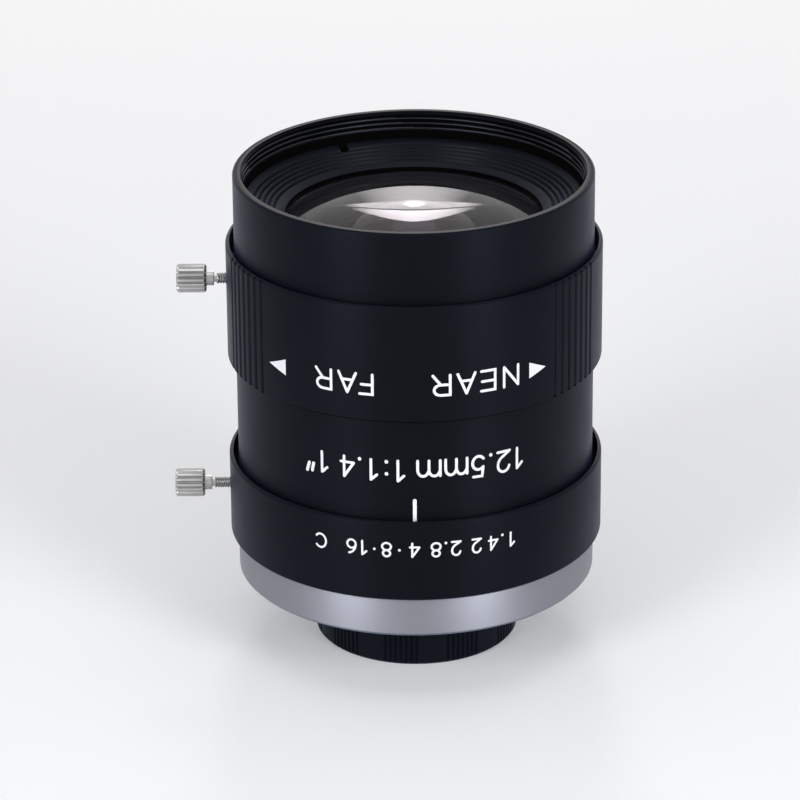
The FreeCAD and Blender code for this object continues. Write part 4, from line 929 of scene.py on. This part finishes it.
def pen_line(build, points, width, low, high):
    """A stroke along points, as a closed strip of even thickness. It has round ends, unless
    it ends where it starts."""
    dense = [Vector(points[0])]
    for point in points[1:]:
        start, target = dense[-1], Vector(point)
        count = max(1, math.ceil((target - start).length / PEN_STEP))
        dense += [start.lerp(target, index / count) for index in range(1, count + 1)]
    closed = (dense[0] - dense[-1]).length < 1e-6 and len(dense) > 8
    if closed:
        dense.pop()
    half = width / 2
    left, right = [], []
    count = len(dense)
    for index, point in enumerate(dense):
        into = point - dense[index - 1] if index or closed else None
        out = dense[(index + 1) % count] - point if index < count - 1 or closed else None
        into, out = (into or out).normalized(), (out or into).normalized()
        middle = into + out
        middle = middle.normalized() if middle.length > 0.2 else into
        side = Vector((-middle.y, middle.x))
        stretch = half / max(0.35, side.dot(Vector((-into.y, into.x))))
        left.append(point + side * stretch)
        right.append(point - side * stretch)

    def verts(line, level):
        return [build.verts.new((p.x * MM, p.y * MM, level * MM)) for p in line]

    top_left, top_right = verts(left, high), verts(right, high)
    low_left, low_right = verts(left, low), verts(right, low)
    for i in range(count if closed else count - 1):
        j = (i + 1) % count
        build.faces.new((top_left[i], top_right[i], top_right[j], top_left[j]))
        build.faces.new((low_left[i], low_left[j], low_right[j], low_right[i]))
        build.faces.new((low_left[j], low_left[i], top_left[i], top_left[j]))
        build.faces.new((low_right[i], low_right[j], top_right[j], top_right[i]))
    if closed:
        return
    for end, first, top_a, top_b, low_a, low_b in (
            (-1, left, top_left, top_right, low_left, low_right),
            (0, right, top_right, top_left, low_right, low_left)):
        centre, arm = dense[end], first[end] - dense[end]
        turns = [math.atan2(arm.y, arm.x) - math.pi * step / ROUND_STEPS
                 for step in range(1, ROUND_STEPS)]
        rounding = [centre + half * Vector((math.cos(t), math.sin(t))) for t in turns]
        top_edge = [top_a[end], *verts(rounding, high), top_b[end]]
        low_edge = [low_a[end], *verts(rounding, low), low_b[end]]
        build.faces.new(top_edge[::-1])
        build.faces.new(low_edge)
        for corners in zip(low_edge[1:], low_edge, top_edge, top_edge[1:]):
            build.faces.new(corners)


def filled_shape(build, points, low, high):
    """A flat filled outline of even thickness."""
    top, bottom = ([build.verts.new((x * MM, y * MM, level * MM)) for x, y in points]
                   for level in (high, low))
    build.faces.new(top)
    build.faces.new(bottom[::-1])
    for i in range(len(points)):
        j = (i + 1) % len(points)
        build.faces.new((bottom[i], bottom[j], top[j], top[i]))


def place_marks(name, words, arrows=(), *, radius, height, tall, width, proud):
    """Draw characters flat, then lay them on a ring. Each entry of words gives a character,
    the angle of its left edge as it reads and its width as a share, and where they are its
    own, its height and how far down it starts."""
    build = bmesh.new()
    for letter, angle, wide, *own in words:
        size, drop = own or (tall, 0)
        left = -math.radians(angle) * radius
        pen = width * PEN_SHARE.get(letter, 1)
        for stroke in STROKES[letter]:
            points = [(left + x * size * wide, y * size + drop) for x, y in stroke]
            for run in pen_lifts(points):
                pen_line(build, run, pen, MARK_FOOT, proud)
    for points in arrows:
        filled_shape(build, points, MARK_FOOT, proud)
    bmesh.ops.recalc_face_normals(build, faces=build.faces)
    piece = from_build(name, build)
    shaped(piece, "marks_on_ring", "white_paint", radius=radius * MM, height=height * MM)
    painted(piece, "white_paint")
    return piece


def arrow(radius, base, tip, low=0.22, high=2.6, middle=1.56):
    """A triangle whose tip points along the ring, with points enough to bend."""
    base, tip = (-math.radians(angle) * radius for angle in (base, tip))
    shares = (0, 0.25, 0.5, 0.75)
    points = [(base + (tip - base) * s, low + (middle - low) * s) for s in shares]
    points.append((tip, middle))
    points += [(base + (tip - base) * s, high - (high - middle) * s) for s in shares[::-1]]
    return points if tip < base else points[::-1]


class LENS_OT_marks(bpy.types.Operator):
    """Draw the generic scales and words on the rings"""
    bl_idname = "lens.marks"
    bl_label = "Marks"

    def execute(self, context):
        proud = context.scene.lens_sizes.mark_height / MM
        focus = [
            ("F", -12.65, 1), ("A", -17.7, 0.98), ("R", -25.6, 0.97), ("N", 32.1, 0.95),
            ("E", 24.35, 1), ("A", 18, 0.96), ("R", 10.4, 1)]
        piece = place_marks(
            "focus_marks", focus, [arrow(26.7, 36.2, 42.6), arrow(26.7, -42, -49)],
            radius=26.7, height=40.22, tall=2.93, width=0.39, proud=proud)
        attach(piece, "focus_ring")
        barrel = [
            ("1", 35.45, 0.9), ("2", 30.86, 0.93), (".", 24.15, 1), ("5", 21.96, 0.91),
            ("m", 16.25, 1), ("m", 7.7, 1.03), ("1", -3.65, 0.9), (":", -9.1, 1),
            ("1", -12.18, 0.9), (".", -17.67, 1), ("4", -19.64, 0.87), ("1", -28.8, 0.9),
            ('"', -33.8, 1.6), ("|", -0.32, 1, 3.1, 6)]
        piece = place_marks("barrel_marks", barrel, radius=25.5, height=27, tall=3.05,
                            width=0.39, proud=proud)
        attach(piece, "barrel")
        aperture = [
            ("1", 30.8, 0.95), (".", 26.7, 1), ("4", 25.1, 0.9), ("2", 19.75, 0.9),
            ("2", 13.4, 0.9), (".", 8.9, 1), ("8", 7.3, 0.92), ("4", 1, 0.9),
            ("-", -4.98, 1), ("8", -7.5, 0.92), ("-", -12.54, 1), ("1", -15, 0.95),
            ("6", -18.25, 0.92), ("C", -28, 1)]
        piece = place_marks("aperture_marks", aperture, radius=26.8, height=15.03,
                            tall=2.06, width=0.3, proud=proud)
        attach(piece, "aperture_ring")
        return {"FINISHED"}


# Studio

def seen(tree):
    """1 where the camera, metal or glass looks, and 0 where only light falls."""
    path = add(tree, "ShaderNodeLightPath").outputs
    glossy, camera, through = (Amount(tree, path["Is " + kind + " Ray"])
                               for kind in ("Glossy", "Camera", "Transmission"))
    return glossy.to("MAXIMUM", camera.to("MAXIMUM", through))


def either(tree, share, first, last):
    """Go from one shader to another by a share."""
    mix = tree.nodes.new("ShaderNodeMixShader")
    for socket, value in zip(mix.inputs, (share, first.outputs[0], last.outputs[0])):
        feed(tree, socket, value)
    return mix.outputs[0]


def arched(light):
    """Give a softbox an arched top, a seam across it and a brighter upper panel."""
    light.use_nodes = True
    tree = light.node_tree
    tree.nodes.clear()
    across, up, _ = parts(tree, add(tree, "ShaderNodeNewGeometry").outputs["Parametric"])
    across = across - 0.5
    square = across * across
    over_edge = (up + square * 0.5).slope(0.59, 0.61)
    at_seam = up + square * 1.15
    under_seam = at_seam.slope(0.752, 0.76, 1, 0)
    over_seam = at_seam.slope(0.774, 0.782)
    under_arch = (up + square * 2.1).slope(0.965, 0.985, 1, 0)
    low = up.slope(0.1, 0.6, 0.08, 0.38) * square.slope(0, 0.09, 1, 0.04)
    low = low * (1 - over_edge)
    middle = square.slope(0.1, 0.175, 1, 0.05) * 0.5 * over_edge * under_seam
    high = square.slope(0, 0.16, 1, 0) * 1.2 * over_seam * under_arch
    glow = add(tree, "ShaderNodeEmission", Strength=low + (middle + high))
    add(tree, "ShaderNodeOutputLight", Surface=glow.outputs[0])


def studio_floor(colour, size=0.8, drop=0.00002):
    """A pale floor just under the lens, which fades to white far from it."""
    z = CAD_BOX[0][2] - drop
    mesh = bpy.data.meshes.new("studio_floor")
    mesh.from_pydata([(-size, -size, z), (size, -size, z), (size, size, z), (-size, size, z)],
                     [], [(0, 1, 2, 3)])
    floor = bpy.data.objects.new("studio_floor", mesh)
    bpy.context.scene.collection.objects.link(floor)
    paper, tree, output = new_material("studio_paper")
    tone, _, place = clouded(tree, colour, 0.99, 1.01, 3, 3)
    looked_at = seen(tree)
    shader = add(tree, "ShaderNodeBsdfPrincipled", Base_Color=tone, Roughness=0.75,
                 Emission_Color=tone, Emission_Strength=looked_at * 0.14)
    away = add(tree, "ShaderNodeVectorMath", operation="LENGTH", Vector=place)
    far = looked_at * Amount(tree, away.outputs["Value"]).slope(0.06, 0.5)
    white = add(tree, "ShaderNodeEmission", Strength=1)
    fill(tree, output, Surface=either(tree, far, shader, white))
    mesh.materials.append(paper)


def studio_world():
    """A faint even light, which looks white to the camera and in reflections."""
    world = bpy.data.worlds.new("studio_world")
    bpy.context.scene.world = world
    world.use_nodes = True
    tree = world.node_tree
    tree.nodes.clear()
    soft = add(tree, "ShaderNodeBackground", Color=(0.92, 0.95, 1, 1), Strength=0.2)
    bright = add(tree, "ShaderNodeBackground", Color=(1, 1, 1, 1), Strength=1)
    add(tree, "ShaderNodeOutputWorld", Surface=either(tree, seen(tree), soft, bright))


def lamp(name, place, aim_z, size, power, colour=(1, 1, 1)):
    """The light of a rectangular softbox that points at a height on the lens's axis."""
    light = bpy.data.lights.new(name, "AREA")
    light.shape = "RECTANGLE"
    light.size, light.size_y = size
    light.energy = power
    light.color = colour
    holder = bpy.data.objects.new(name, light)
    bpy.context.scene.collection.objects.link(holder)
    holder.location = place
    forward = Vector((0, 0, aim_z)) - Vector(place)
    holder.rotation_euler = forward.to_track_quat("-Z", "Y").to_euler()
    return light


def photo_camera():
    """The camera, with the place and the turn that fit the rims and edges in the photo."""
    camera = bpy.data.cameras.new("photo_camera")
    camera.sensor_width = 36
    camera.lens = 195.67
    camera.clip_start = 0.01
    camera.clip_end = 20
    view = bpy.data.objects.new("photo_camera", camera)
    bpy.context.scene.collection.objects.link(view)
    forward = Vector((-0.00347726, 0.91824253, -0.39600324))
    across = Vector((0.99997172, 0.00055187, -0.00750099))
    upward = across.cross(forward).normalized()
    across = forward.cross(upward).normalized()
    turn = Matrix((across, upward, -forward)).transposed().to_4x4()
    view.matrix_world = Matrix.Translation((0, -0.57367174, 0.27263284)) @ turn
    return view


class LENS_OT_studio(bpy.types.Operator):
    """Set the floor, the soft lights, the world and the camera"""
    bl_idname = "lens.studio"
    bl_label = "Studio"

    def execute(self, context):
        studio_floor(context.scene.lens_colours.floor)
        studio_world()
        for name, side, power in (("left_strip", -1, 2.95), ("right_strip", 1, 3.15)):
            lamp(name, place=(side * 0.42, -0.5, 0.22), aim_z=0.03, size=(0.25, 0.44),
                 power=power, colour=(0.96, 0.98, 1))
        arched(lamp("back_softbox", place=(0, 0.559, 0.2735), aim_z=0.056,
                    size=(0.222, 0.373), power=3, colour=(1, 0.965, 0.985)))
        lamp("top_softbox", place=(0, 0, 0.85), aim_z=0.03, size=(0.6, 0.6), power=1.7)
        context.scene.camera = photo_camera()
        context.scene.view_settings.view_transform = "Standard"
        return {"FINISHED"}


class LENS_PT_panel(bpy.types.Panel):
    """Sizes, colours and the steps that build the lens"""
    bl_label = "Lens"
    bl_space_type = "VIEW_3D"
    bl_region_type = "UI"
    bl_category = "Lens"

    def draw(self, context):
        layout = self.layout
        for group in (context.scene.lens_sizes, context.scene.lens_colours):
            box = layout.box()
            for name in group.__annotations__:
                box.prop(group, name)
        for operator in OPERATORS:
            layout.operator(operator.bl_idname)


OPERATORS = (
    LENS_OT_finishes, LENS_OT_front_tube, LENS_OT_front_retaining_ring, LENS_OT_front_glass,
    LENS_OT_focus_ring, LENS_OT_aperture_ring, LENS_OT_mount_ring, LENS_OT_rear_cap,
    LENS_OT_lock_screws, LENS_OT_marks, LENS_OT_studio)
CLASSES = (LensSizes, LensColours, *OPERATORS, LENS_PT_panel)


def register():
    for cls in CLASSES:
        bpy.utils.register_class(cls)
    bpy.types.Scene.lens_sizes = bpy.props.PointerProperty(type=LensSizes)
    bpy.types.Scene.lens_colours = bpy.props.PointerProperty(type=LensColours)


def unregister():
    del bpy.types.Scene.lens_colours
    del bpy.types.Scene.lens_sizes
    for cls in reversed(CLASSES):
        bpy.utils.unregister_class(cls)


def main():
    register()
    for operator in OPERATORS:
        getattr(bpy.ops.lens, operator.bl_idname.split(".")[1])()
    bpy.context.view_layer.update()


if __name__ == "__main__":
    main()
